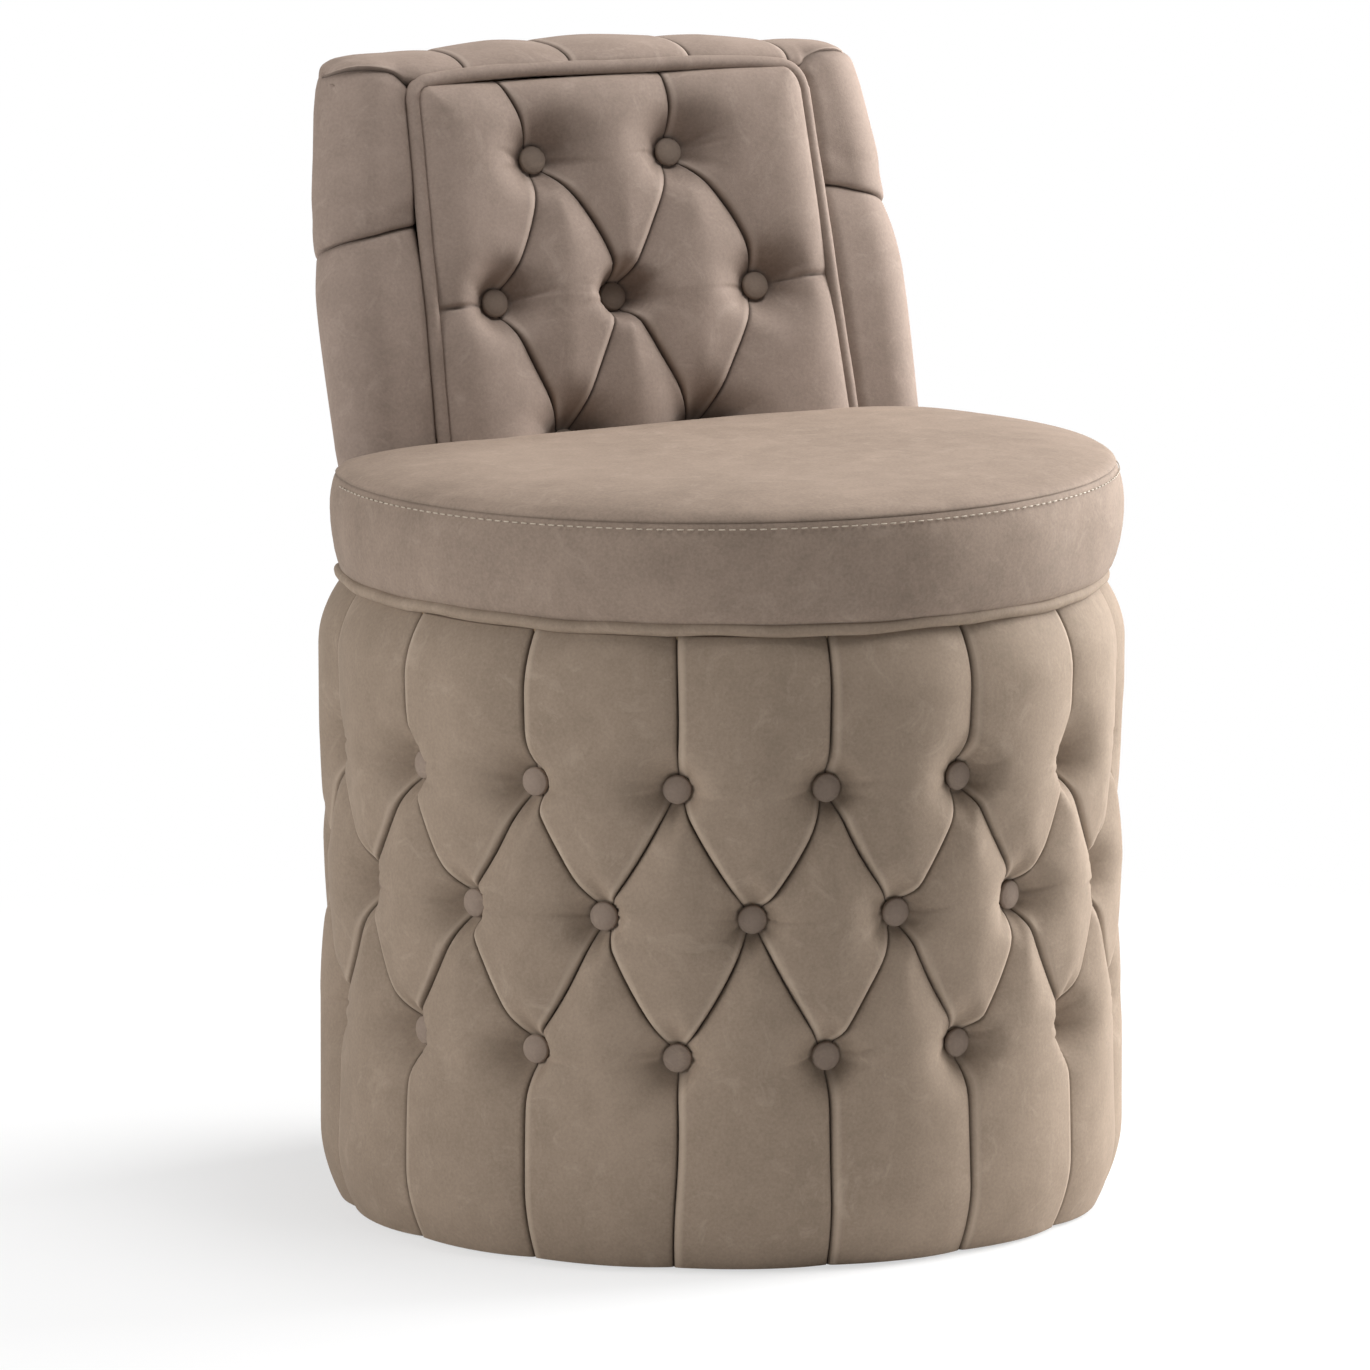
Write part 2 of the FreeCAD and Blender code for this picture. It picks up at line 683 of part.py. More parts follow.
# Boxed seat pad with a crowned top: leather cover over foam.
def seat_form(label, inset, bottom):
    """Turned form of the seat, drawn in by `inset` all round, cut off along the backrest's lean."""
    body = new_body(label)
    drawn = " - %g" % inset
    turned(body, [
        ("0", bottom),
        ("dims.seat_bottom_radius" + drawn, bottom),
        ("dims.seat_bottom_radius" + drawn, "dims.seat_bottom + dims.seat_board_thickness / 3"),
        ("dims.seat_seam_radius" + drawn, "dims.seat_seam_height" + drawn),
        ("dims.seat_shoulder_radius", "dims.seat_shoulder_height" + drawn),
        ("0", "dims.seat_top" + drawn),
    ], {2: "dims.boxing_bow_radius", 3: "dims.shoulder_bow_radius", 4: "dims.crown_bow_radius"})
    return drilled(label + "_cut", body, behind_panel(dim("seat_gap") + inset))


seat_outer = seat_form("seat_outer", 0.0, "dims.seat_bottom")
seat_hollow = seat_form("seat_hollow", dim("cover_thickness"), "dims.seat_bottom - dims.cover_thickness")
seat_foam = seat_form("seat_foam_form", dim("cover_thickness"), SEAT_BOARD_TOP)
seat_cover = doc.addObject("Part::Cut", "seat_cover")
seat_cover.Base = seat_outer
seat_cover.Tool = seat_hollow
named(seat_cover, "seat_cover")
named(seat_foam, "seat_foam")

# Welt between the seat and the drum, open at the rear where it meets the backrest.
seat_welt = doc.addObject("Part::Torus", "seat_welt")
seat_welt.setExpression("Radius1", "dims.seat_welt_radius")
seat_welt.setExpression("Radius2", "dims.welt_radius")
seat_welt.setExpression("Angle3", "dims.seat_welt_sweep")
seat_welt.Placement = Placement(Vector(0, 0, dim("seat_welt_height")),
                                Rotation(Vector(0, 0, 1), -90 - dim("seat_welt_sweep") / 2))
named(seat_welt, "seat_welt")

# Wooden frame of the backrest: two side frames on the deck, joined by two rails.
LEAN = math.radians(dim("back_lean"))


def front_of_frame(z):
    """Depth of the side frames' front edge at height z: behind the front board."""
    back_of_board = dim("panel_foam") + dim("board_thickness")
    rise = z - dim("panel_base_height")
    return dim("panel_base_depth") + rise * math.tan(LEAN) + back_of_board / math.cos(LEAN)


FRAME_LOW = dim("deck_top")
FRAME_HIGH = dim("side_frame_top")
sheet_rows = len(DIMENSIONS)
for row, (alias, height) in enumerate((("side_frame_front_low", FRAME_LOW),
                                       ("side_frame_front_high", FRAME_HIGH)), start=sheet_rows + 1):
    sheet.set("A%d" % row, alias)
    sheet.set("B%d" % row, "%.4f" % front_of_frame(height))
    sheet.setAlias("B%d" % row, alias)
doc.recompute()

for side_name, side in (("left", -1), ("right", 1)):
    frame = new_body("side_frame_" + side_name)
    sketch = new_sketch(frame, "YZ_Plane")
    outline(sketch, [
        ("dims.side_frame_front_low", "dims.deck_top"),
        ("dims.side_frame_rear_low", "dims.deck_top"),
        ("dims.side_frame_rear_high", "dims.side_frame_top"),
        ("dims.side_frame_front_high", "dims.side_frame_top"),
    ])
    pad(frame, sketch, "dims.ply_thickness")
    near = SIDE_FRAME if side > 0 else -SIDE_FRAME - dim("ply_thickness")
    frame.Placement = Placement(Vector(near, 0, 0), Rotation())
    label = "back_side_frame_" + side_name
    named(drilled(label, frame, BRACKET_DRILLS), label)

RAIL_SPAN = "2 * dims.side_frame_inner"
top_rail = box("back_top_rail", RAIL_SPAN, "dims.rail_depth", "dims.rail_height")
top_rail.Placement = Placement(
    Vector(-SIDE_FRAME, front_of_frame(FRAME_HIGH), FRAME_HIGH - dim("rail_height")), Rotation())
named(top_rail, "back_top_rail")
lower_rail = box("back_lower_rail", RAIL_SPAN, "dims.rail_depth", "dims.rail_height")
LOWER_RAIL_TOP = dim("lower_rail_height") + dim("rail_height")
lower_rail.Placement = Placement(
    Vector(-SIDE_FRAME, front_of_frame(LOWER_RAIL_TOP), dim("lower_rail_height")), Rotation())
named(lower_rail, "back_lower_rail")

# Rear board nailed on the sloping rear edges of the side frames.
rear_rise = FRAME_HIGH - FRAME_LOW
rear_run = dim("side_frame_rear_high") - dim("side_frame_rear_low")
rear_slope = math.degrees(math.atan2(rear_run, rear_rise))
REAR_BOARD_LIFT = 2.0
rear_board = box("back_rear_board", RAIL_SPAN + " + 2 * dims.ply_thickness", "dims.rear_board_thickness",
                 "%.4f" % (math.hypot(rear_rise, rear_run) - REAR_BOARD_LIFT))
rear_board.Placement = Placement(
    Vector(-SIDE_FRAME - dim("ply_thickness"), dim("side_frame_rear_low"), FRAME_LOW),
    Rotation(Vector(1, 0, 0), -rear_slope)) * Placement(Vector(0, 0, REAR_BOARD_LIFT), Rotation())
named(rear_board, "back_rear_board")

# Tufts of the front panel: rows of two, three and two buttons, set by hand a little off centre.
LOW_PAIR = (-54.0, 38.0)
MID_THREE = (-92.0, -7.0, 91.0)
HIGH_PAIR = (-55.0, 41.0)
TOP_PLEATS = (-74.0, 38.0)
PANEL_TUFTS = [(x, dim("panel_row_low")) for x in LOW_PAIR]
PANEL_TUFTS += [(x, dim("panel_row_mid")) for x in MID_THREE]
PANEL_TUFTS += [(x, dim("panel_row_high")) for x in HIGH_PAIR]
PLEAT_HALF = 1.5
PANEL_EDGE_DROP = 1.5
PANEL_FORM_LOW = -40.0
SEAT_LINE = 5.0
SIDE_PLEAT_REACH = 30.0
BUTTON_HALF = dim("panel_button_half")
PANEL_PITCH = 90.0
WELT_ROOM = dim("welt_radius") + 0.6


def both_sides(centres, half):
    return [x + way * half for x in centres for way in (-1, 1)]


PANEL_PLEATS = [
    (dim("panel_row_low"), both_sides(LOW_PAIR, BUTTON_HALF)),
    (dim("panel_row_mid"), [MID_THREE[0]] + both_sides(MID_THREE[1:2], BUTTON_HALF) + [MID_THREE[2]]),
    (dim("panel_row_high"), both_sides(HIGH_PAIR, BUTTON_HALF)),
    (dim("panel_top"), both_sides(TOP_PLEATS, PLEAT_HALF)),
]
PANEL_ROWS = (dim("panel_row_low"), dim("panel_row_mid"), dim("panel_row_high"))
PANEL_DEPTHS = pleat_depths(PANEL_FORM_LOW, PANEL_ROWS, dim("panel_top"), dim("panel_tuft_depth"),
                            dim("panel_pleat_depth"), dim("least_bulge"), PLEAT_HALF)
# Share of the full bulge by height: flat behind the seat, full above it, drawn in under the top welt.
PANEL_SWELL = [
    (0.0, 0.0),
    (SEAT_LINE + 8, 0.5),
    (SEAT_LINE + 25, 1.0),
    (dim("panel_top") - 30, 1.0),
    (dim("panel_top"), 0.3),
]
SIDE_PLEAT = [
    (dim("panel_row_mid") - SIDE_PLEAT_REACH, 1.0),
    (dim("panel_row_mid"), 0.15),
    (dim("panel_row_mid") + SIDE_PLEAT_REACH, 1.0),
]


def panel_half_width(u, inset):
    """Half width of the panel at a height u, drawn in by `inset` from the welt's line, round at the top."""
    low, high = dim("panel_half_width_low"), dim("panel_half_width_high")
    side = low + (high - low) * max(0.0, u) / dim("panel_top") - inset
    into_corner = u - (dim("panel_top") - dim("panel_corner"))
    if into_corner <= 0:
        return side
    radius = dim("panel_corner") - inset
    return min(side, high - dim("panel_corner") + math.sqrt(max(0.0, radius ** 2 - into_corner ** 2)))


def panel_section(u, inset, back):
    """Outline across the front panel at height u: five bulges between pleats in front, flat behind."""
    half = panel_half_width(u, WELT_ROOM + inset)
    pleats = [along(u, [(level, row[k]) for level, row in PANEL_PLEATS]) for k in range(4)]
    depth = -along(u, PANEL_DEPTHS) - inset
    edge = -PANEL_EDGE_DROP - inset
    stops = [(-half, edge)] + [(x, depth) for x in pleats] + [(half, edge)]
    edges = []
    for number, ((x0, n0), (x1, n1)) in enumerate(zip(stops, stops[1:])):
        share = swell(x1 - x0, 2 * BUTTON_HALF, PANEL_PITCH) * along(u, PANEL_SWELL)
        if number in (0, 4):
            share *= along(u, SIDE_PLEAT)
        reach = dim("panel_crest") - (n0 + n1) / 2 - inset
        rise = max(dim("least_bulge"), reach * share)
        middle = Vector((x0 + x1) / 2, u, (n0 + n1) / 2 + rise)
        edges.append(bulge(Vector(x0, u, n0), middle, Vector(x1, u, n1)))
    corners = [Vector(half, u, edge), Vector(half, u, back), Vector(-half, u, back), Vector(-half, u, edge)]
    edges += [Part.LineSegment(p, q).toShape() for p, q in zip(corners, corners[1:])]
    return Part.Wire(edges)


def panel_form(inset, back, bottom):
    top = dim("panel_top") - WELT_ROOM - inset
    heights = [bottom] + section_heights(PANEL_FORM_LOW, PANEL_ROWS, top, 3)
    return Part.makeLoft([panel_section(u, inset, back) for u in heights], True, True)


FOAM_BACK = -dim("panel_foam")
PAST = 1.0  # how far a hollow runs on past an open side
panel_outer = panel_form(0.0, FOAM_BACK, dim("panel_bottom"))
panel_hollow = panel_form(dim("cover_thickness"), FOAM_BACK - PAST, dim("panel_bottom") - PAST)
named(formed("front_panel_cover", panel_outer.cut(panel_hollow), PANEL), "front_panel_cover")

PANEL_SEAT = -dim("panel_tuft_depth") + BUTTON_CLEARANCE
panel_button_places = [PANEL * Placement(Vector(x, u, PANEL_SEAT), Rotation()) for x, u in PANEL_TUFTS]
named(group("front_panel_buttons", button.Shape, panel_button_places), "front_panel_buttons")
PANEL_TIE_START = FOAM_BACK - dim("board_thickness") - dim("knot_thickness")
PANEL_TIE_END = -dim("panel_tuft_depth") - dim("cover_thickness") - BUTTON_CLEARANCE
panel_tie_places = [PANEL * Placement(Vector(x, u, PANEL_TIE_START), Rotation()) for x, u in PANEL_TUFTS]
PANEL_TIE_LENGTH = PANEL_TIE_END - PANEL_TIE_START
named(group("front_panel_ties", tie(PANEL_TIE_LENGTH), panel_tie_places), "front_panel_ties")
panel_hole = Part.makeCylinder(dim("tie_radius"), PANEL_TIE_LENGTH)
PANEL_DRILLS = Part.makeCompound([placed(panel_hole, place) for place in panel_tie_places])
panel_foam = formed("panel_foam_block",
                    panel_form(dim("cover_thickness"), FOAM_BACK, dim("panel_bottom")), PANEL)
named(drilled("front_panel_foam", panel_foam, PANEL_DRILLS), "front_panel_foam")

# Front board on the side frames, behind the front foam.
BOARD_HALF = 134.0
BOARD_TOP = dim("panel_top") - dim("board_thickness")
front_board = box("front_board_blank", "2 * %g" % BOARD_HALF, "%g - dims.panel_bottom" % BOARD_TOP,
                  "dims.board_thickness")
front_board.Placement = PANEL * Placement(
    Vector(-BOARD_HALF, dim("panel_bottom"), FOAM_BACK - dim("board_thickness")), Rotation())
named(drilled("back_front_board", front_board, PANEL_DRILLS), "back_front_board")

# Welt round the two sides and the top of the front panel: straight sides that taper a little, round top
# corners and a low arch, each running smoothly into the next.
ARCH_RISE = 4.0
SIDE_TAPER = math.atan2(dim("panel_half_width_low") - dim("panel_half_width_high"), dim("panel_top"))
corner_centre = Vector(-dim("panel_half_width_high") + dim("panel_corner"),
                       dim("panel_top") - dim("panel_corner"), 0)
ARCH_SLOPE = 2 * math.atan2(ARCH_RISE, -corner_centre.x)


def on_corner(turn):
    """Point of the left top corner, at a turn in radians from straight left towards straight up."""
    return corner_centre + Vector(-math.cos(turn), math.sin(turn), 0) * dim("panel_corner")


def mirrored(point):
    return Vector(-point.x, point.y, point.z)


CORNER_END = math.pi / 2 - ARCH_SLOPE
shoulder = on_corner(SIDE_TAPER)
shoulder_middle = on_corner((SIDE_TAPER + CORNER_END) / 2)
arch_start = on_corner(CORNER_END)
arch_crown = Vector(0, arch_start.y - arch_start.x * math.tan(ARCH_SLOPE / 2), 0)
WELT_END_GAP = 10.0
drop = shoulder.y - dim("panel_bottom") - WELT_END_GAP
welt_low = shoulder - Vector(drop * math.tan(SIDE_TAPER), drop, 0)
welt_path = Part.Wire([
    Part.LineSegment(welt_low, shoulder).toShape(),
    bulge(shoulder, shoulder_middle, arch_start),
    bulge(arch_start, arch_crown, mirrored(arch_start)),
    bulge(mirrored(arch_start), mirrored(shoulder_middle), mirrored(shoulder)),
    Part.LineSegment(mirrored(shoulder), mirrored(welt_low)).toShape(),
])
welt_ring = Part.Wire(Part.makeCircle(dim("welt_radius"), welt_low, shoulder - welt_low))
welt_tube = welt_path.makePipeShell([welt_ring], True, False)
named(formed("front_panel_welt", welt_tube, PANEL), "front_panel_welt")

# Outside of the backrest: leather over foam that wraps from the welt round both sides, over the top and
# down the rear to the drum.
REAR_ODD = [way * HALF_PITCH for way in (3, 1, -1, -3)]
BACK_LOW = dim("back_bottom")
BACK_HIGH = dim("back_top")
BACK_ROWS = (dim("back_row_low"), dim("back_row_mid"), dim("back_row_high"))
BACK_OPENINGS = pleat_openings(BACK_LOW, BACK_ROWS, BACK_HIGH)
BACK_DEPTHS = pleat_depths(BACK_LOW, BACK_ROWS, BACK_HIGH, dim("tuft_depth"), dim("pleat_depth"),
                           dim("pleat_end_depth"), 2.0)
WAIST_HEIGHT = 450.0
FLARE_HEIGHT = 540.0
REAR_RADII = [
    (BACK_LOW, dim("back_waist") + 1),
    (WAIST_HEIGHT, dim("back_waist")),
    (FLARE_HEIGHT, dim("back_rear") - 2),
    (dim("back_row_mid"), dim("back_rear")),
    (BACK_HIGH, dim("back_rear")),
]
# Centre of the rounded corner between side and rear: across and depth at rising heights.
CORNER_ACROSS = [(BACK_LOW, 186.0), (466.0, 174.0), (600.0, 171.5), (690.0, 154.0), (BACK_HIGH, 150.0)]
CORNER_DEPTH = [(BACK_LOW, 112.0), (466.0, 130.0), (600.0, 166.0), (690.0, 182.0), (BACK_HIGH, 186.0)]
TOP_REACH = 26.0
TOP_ROUND = 24.0
TOP_ARCH = 60.0
REAR_SHARE = 0.82


def back_section(z, inset):
    """Outline of the backrest at height z: flat front, round corners and tufted rear."""
    into_top = max(0.0, (z - BACK_HIGH) / TOP_REACH + 1)
    closing = 1 - math.sqrt(max(0.0, 1 - into_top ** 2))
    shrink = inset + TOP_ROUND * closing
    off_pleat = abs(z - dim("side_pleat_height")) / dim("side_pleat_reach")
    pinch = dim("side_pleat_depth") * max(0.0, 1 - off_pleat)
    radius = max(4.0, dim("back_corner_radius") - shrink - pinch / 2)
    across = along(z, CORNER_ACROSS) - TOP_ARCH * closing - pinch / 2
    depth = along(z, CORNER_DEPTH)
    rear = along(z, REAR_RADII) - shrink
    opening = along(z, BACK_OPENINGS)
    dip = along(z, BACK_DEPTHS)

    def corner(side, turn):
        angle = math.radians(turn)
        return Vector(side * (across + radius * math.cos(angle)), depth + radius * math.sin(angle), z)

    right_end, left_end = corner(1, 45), corner(-1, 45)
    spread = math.degrees(math.atan2(right_end.x, right_end.y))
    edge = math.hypot(right_end.x, right_end.y)
    fan = min(1.0, REAR_SHARE * spread / REAR_ODD[0])

    def rear_point(angle, lift):
        """Point of the rear at an angle from the rear axis; the rear widens a little to its corners."""
        full = rear + (edge - rear) * (angle / spread) ** 2
        return polar(180 - angle, full + lift, z)

    stops = []
    for odd in REAR_ODD:
        stops += [odd * fan + opening, odd * fan - opening]
    points = [right_end] + [rear_point(a, -dip) for a in stops] + [left_end]
    angles = [spread] + stops + [-spread]
    edges = [bulge(corner(1, -90), corner(1, -45), corner(1, 0)),
             bulge(corner(1, 0), corner(1, 22.5), right_end)]
    for (a0, p0), (a1, p1) in zip(zip(angles, points), zip(angles[1:], points[1:])):
        share = swell(a0 - a1, 2 * ROW_HALF, 2 * HALF_PITCH - 2 * ROW_HALF)
        straight = (p0 + p1) * 0.5
        crest = rear_point((a0 + a1) / 2, 0.0)
        way = Vector(crest.x, crest.y, 0).normalize()
        rise = max(dim("least_bulge"), (crest - straight).dot(way) * share)
        edges.append(bulge(p0, straight + way * rise, p1))
    edges += [bulge(left_end, corner(-1, 22.5), corner(-1, 0)),
              bulge(corner(-1, 0), corner(-1, -45), corner(-1, -90)),
              Part.LineSegment(corner(-1, -90), corner(1, -90)).toShape()]
    return Part.Wire(edges)


TOP_SHARES = (0.45, 0.75, 0.93, 1.0)
BACK_HEIGHTS = section_heights(BACK_LOW, BACK_ROWS, BACK_HIGH - TOP_REACH, 3)
BACK_HEIGHTS += [BACK_HIGH - TOP_REACH * (1 - share) for share in TOP_SHARES]


def back_form(inset, low):
    """Solid of the whole backrest, drawn in by `inset`, from a height `low` upward."""
    heights = [low] + BACK_HEIGHTS[1:]
    wires = [back_section(z, inset) for z in heights[:-1]]
    top = back_section(heights[-1], inset)
    top.translate(Vector(0, 0, -inset))
    return Part.makeLoft(wires + [top], True, True)


# Room in the backrest for the front panel with its welt, and for the wooden frame.
room_corner = dim("panel_corner") + WELT_ROOM


def on_room(turn, side):
    """Point of the room's top corner, the welt's own corner moved out by half the welt's slot."""
    point = corner_centre + Vector(-math.cos(turn), math.sin(turn), 0) * room_corner
    return point if side < 0 else mirrored(point)


room_drop = on_room(SIDE_TAPER, -1).y - 2 * dim("panel_bottom")
room_low = on_room(SIDE_TAPER, -1) - Vector(room_drop * math.tan(SIDE_TAPER), room_drop, 0)
room_top = Vector(0, arch_crown.y + WELT_ROOM, 0)
room_side_middle = (SIDE_TAPER + CORNER_END) / 2
room_outline = Part.Wire([
    Part.LineSegment(room_low, on_room(SIDE_TAPER, -1)).toShape(),
    bulge(on_room(SIDE_TAPER, -1), on_room(room_side_middle, -1), on_room(CORNER_END, -1)),
    bulge(on_room(CORNER_END, -1), room_top, on_room(CORNER_END, 1)),
    bulge(on_room(CORNER_END, 1), on_room(room_side_middle, 1), on_room(SIDE_TAPER, 1)),
    Part.LineSegment(on_room(SIDE_TAPER, 1), mirrored(room_low)).toShape(),
    Part.LineSegment(mirrored(room_low), room_low).toShape(),
])
ROOM_BACK = FOAM_BACK - dim("board_thickness")
ROOM_DEEP = 120.0
panel_room = Part.Face(room_outline).extrude(Vector(0, 0, ROOM_DEEP))
panel_room.translate(Vector(0, 0, ROOM_BACK))
panel_room = placed(panel_room, PANEL)
frame_half = SIDE_FRAME + dim("ply_thickness")
rear_foot = Vector(0, dim("side_frame_rear_low"), FRAME_LOW)
rear_lean = Placement(rear_foot, Rotation(Vector(1, 0, 0), -rear_slope))
frame_room = placed(Part.makeBox(
    2 * frame_half, WIDE, 2 * math.hypot(rear_rise, rear_run),
    Vector(-frame_half, dim("rear_board_thickness") - WIDE, -math.hypot(rear_rise, rear_run))), rear_lean)
below_frame_top = Part.makeBox(WIDE, WIDE, FRAME_HIGH, Vector(-WIDE / 2, 0, 0))
frame_room = frame_room.common(below_frame_top)

back_outer = back_form(0.0, BACK_LOW)
back_hollow = back_form(dim("cover_thickness"), BACK_LOW - PAST)
back_fill = back_form(dim("cover_thickness"), BACK_LOW)
named(formed("outside_back_cover", back_outer.cut(back_hollow).cut(panel_room)), "outside_back_cover")
named(formed("outside_back_foam", back_fill.cut(panel_room).cut(frame_room)), "outside_back_foam")

BACK_TUFTS = [(angle, dim("back_row_low")) for angle in REAR_ODD]
BACK_TUFTS += [(way * HALF_PITCH, dim("back_row_mid")) for way in (2, 0, -2)]
BACK_TUFTS += [(angle, dim("back_row_high")) for angle in REAR_ODD]
back_button_places = []
REAR_SPREAD = 3.5
for angle, height in BACK_TUFTS:
    seat = along(height, REAR_RADII) - dim("tuft_depth") + REAR_SPREAD + BUTTON_CLEARANCE
    back_button_places.append(outward(180 - angle, height, seat))
named(group("outside_back_buttons", button.Shape, back_button_places), "outside_back_buttons")

# Every object must have recomputed cleanly and every sub-part must be a valid shape.
doc.recompute()
for thing in doc.Objects:
    if "Invalid" in thing.State or "Error" in thing.State:
        raise RuntimeError("%s did not recompute" % thing.Label)
faulty = [thing.Label for thing in SUB_PARTS
          if thing.Shape.isNull() or not thing.Shape.isValid() or thing.Shape.Volume <= 0]
if faulty:
    raise RuntimeError("no valid shape: " + ", ".join(faulty))

os.makedirs("parts", exist_ok=True)
for thing in SUB_PARTS:
    thing.Shape.exportStep(os.path.join("parts", thing.Label + ".step"))
    print("%-24s %2d solids %10.0f mm3" % (thing.Label, len(thing.Shape.Solids), thing.Shape.Volume))
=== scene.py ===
import math

import bpy
import numpy as np
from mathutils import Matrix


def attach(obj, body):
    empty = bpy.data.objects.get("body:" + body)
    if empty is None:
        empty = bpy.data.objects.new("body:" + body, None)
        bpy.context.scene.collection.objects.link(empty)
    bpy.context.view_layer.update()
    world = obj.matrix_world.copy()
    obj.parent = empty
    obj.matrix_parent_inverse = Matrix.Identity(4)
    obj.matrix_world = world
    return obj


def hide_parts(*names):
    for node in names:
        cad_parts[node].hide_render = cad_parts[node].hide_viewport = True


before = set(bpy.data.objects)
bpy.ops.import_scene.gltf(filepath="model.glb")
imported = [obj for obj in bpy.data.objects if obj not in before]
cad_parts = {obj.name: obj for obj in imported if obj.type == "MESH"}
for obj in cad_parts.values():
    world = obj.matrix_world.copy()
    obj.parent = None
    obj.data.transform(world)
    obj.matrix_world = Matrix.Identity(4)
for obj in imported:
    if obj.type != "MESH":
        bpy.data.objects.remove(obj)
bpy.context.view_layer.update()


# Floor glides, frame screws, bolts, nuts and brackets: zinc-plated steel with a faint brushed grain
# and duller patches. The glides are nailed up into the base ring and carry the whole pouf.
def new_node(tree, kind, *feeds, **values):
    """Adds a shader node. Values with small letters set its options, the others its input sockets; each
    feed links an output to the input of a given name or number."""
    made = tree.nodes.new(kind)
    for name, value in values.items():
        if name.islower():
            setattr(made, name, value)
        else:
            made.inputs[name.replace("_", " ")].default_value = value
    for name, source in feeds:
        tree.links.new(source, made.inputs[name])
    return made


def ramp(tree, factor, low, high, span=(0.0, 1.0)):
    """Colour ramp from one colour to another over a span of the factor."""
    made = new_node(tree, "ShaderNodeValToRGB", ("Fac", factor))
    for element, colour, place in zip(made.color_ramp.elements, (low, high), span):
        element.color, element.position = (*colour, 1), place
    return made.outputs["Color"]


def blank_material(name):
    """New material with only its Principled shader; gives the tree, the shader and Object coordinates."""
    material = bpy.data.materials.new(name)
    material.use_nodes = True
    tree = material.node_tree
    shader = tree.nodes["Principled BSDF"]
    coordinates = tree.nodes.new("ShaderNodeTexCoord").outputs["Object"]
    return material, tree, shader, coordinates


def stretched(tree, coordinates, scale):
    """Coordinates scaled along each axis."""
    return new_node(tree, "ShaderNodeMapping", ("Vector", coordinates), Scale=scale).outputs["Vector"]


def noise(tree, vector, scale, detail=3.0, roughness=0.55, distortion=0.0):
    """Cloudy noise, as a factor."""
    return new_node(tree, "ShaderNodeTexNoise", ("Vector", vector), Scale=scale, Detail=detail,
                    Roughness=roughness, Distortion=distortion).outputs["Fac"]


def bump(tree, shader, height, strength, distance):
    """Fine relief in the shader's normal."""
    made = new_node(tree, "ShaderNodeBump", ("Height", height), Strength=strength, Distance=distance)
    tree.links.new(made.outputs["Normal"], shader.inputs["Normal"])


def coat(tree, shader, pattern, low, high, strength, distance, span=(0.0, 1.0), roughness=0.5, relief=None):
    """Plain surface: two colours mixed by a pattern, one roughness, and a fine relief from the pattern or
    from another one."""
    tree.links.new(ramp(tree, pattern, low, high, span), shader.inputs["Base Color"])
    shader.inputs["Roughness"].default_value = roughness
    bump(tree, shader, pattern if relief is None else relief, strength, distance)


def dress(material, *names):
    """Puts a material on CAD nodes."""
    for name in names:
        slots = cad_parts[name].data.materials
        slots.clear()
        slots.append(material)


steel, tree, shader, where = blank_material("zinc_steel")
patches = noise(tree, where, scale=90.0)
brushed = noise(tree, stretched(tree, where, (1, 1, 14)), scale=900.0)
coat(tree, shader, patches, (0.36, 0.36, 0.35), (0.56, 0.56, 0.55), span=(0.3, 0.7), relief=brushed,
     strength=0.15, distance=0.0002)
tree.links.new(ramp(tree, patches, (0.34,) * 3, (0.52,) * 3), shader.inputs["Roughness"])
shader.inputs["Metallic"].default_value = 1.0
dress(steel, "floor_glides", "frame_screws", "seat_bolts", "seat_tee_nuts", "back_bracket_screws",
      "back_brackets")

# Dust cover: thin black non-woven cloth, speckled with loose fibres. It is tacked under the base ring and
# closes the drum from below.
dust_cloth, tree, shader, where = blank_material("black_dust_cloth")
fibres = noise(tree, stretched(tree, where, (1, 1.7, 1)), scale=700.0, detail=4.0)
coat(tree, shader, fibres, (0.012, 0.012, 0.013), (0.045, 0.044, 0.043), span=(0.35, 0.75), roughness=0.95,
     strength=0.5, distance=0.0004)
dress(dust_cloth, "dust_cover")


# Inner frame of the drum: plywood base ring and deck joined by softwood posts, with a hardboard sleeve
# bent round them. The backrest's side frames, rails and boards are of the same woods.
def calculated(tree, operation, first, second):
    """Two factors put together by an arithmetic operation."""
    return new_node(tree, "ShaderNodeMath", (0, first), (1, second), operation=operation).outputs["Value"]


plywood, tree, shader, where = blank_material("birch_plywood")
plies = new_node(tree, "ShaderNodeTexWave", ("Vector", where), bands_direction="Z", Scale=110.0,
                 Distortion=0.6)
figure = noise(tree, stretched(tree, where, (6, 60, 60)), scale=3.0, detail=6.0)
coat(tree, shader, calculated(tree, "MULTIPLY", plies.outputs["Fac"], figure), (0.42, 0.28, 0.15),
     (0.66, 0.50, 0.32), span=(0.1, 0.6), roughness=0.7, relief=figure, strength=0.2, distance=0.0004)
dress(plywood, "base_ring", "drum_deck", "seat_board", "back_side_frame_left", "back_side_frame_right")

softwood, tree, shader, where = blank_material("pine_softwood")
grain = new_node(tree, "ShaderNodeTexWave", ("Vector", stretched(tree, where, (1, 1, 0.08))),
                 bands_direction="X", Scale=45.0, Distortion=5.0, Detail=3.0)
coat(tree, shader, grain.outputs["Fac"], (0.50, 0.33, 0.16), (0.72, 0.55, 0.33), roughness=0.75,
     strength=0.15, distance=0.0005)
dress(softwood, *["drum_post_%d" % number for number in range(1, 7)], "back_top_rail", "back_lower_rail")

hardboard, tree, shader, where = blank_material("pressed_hardboard")
chips = noise(tree, where, scale=380.0, detail=6.0)
coat(tree, shader, chips, (0.13, 0.075, 0.042), (0.26, 0.16, 0.095), span=(0.3, 0.7), roughness=0.8,
     strength=0.3, distance=0.0003)
dress(hardboard, "drum_sleeve", "back_rear_board", "back_front_board")

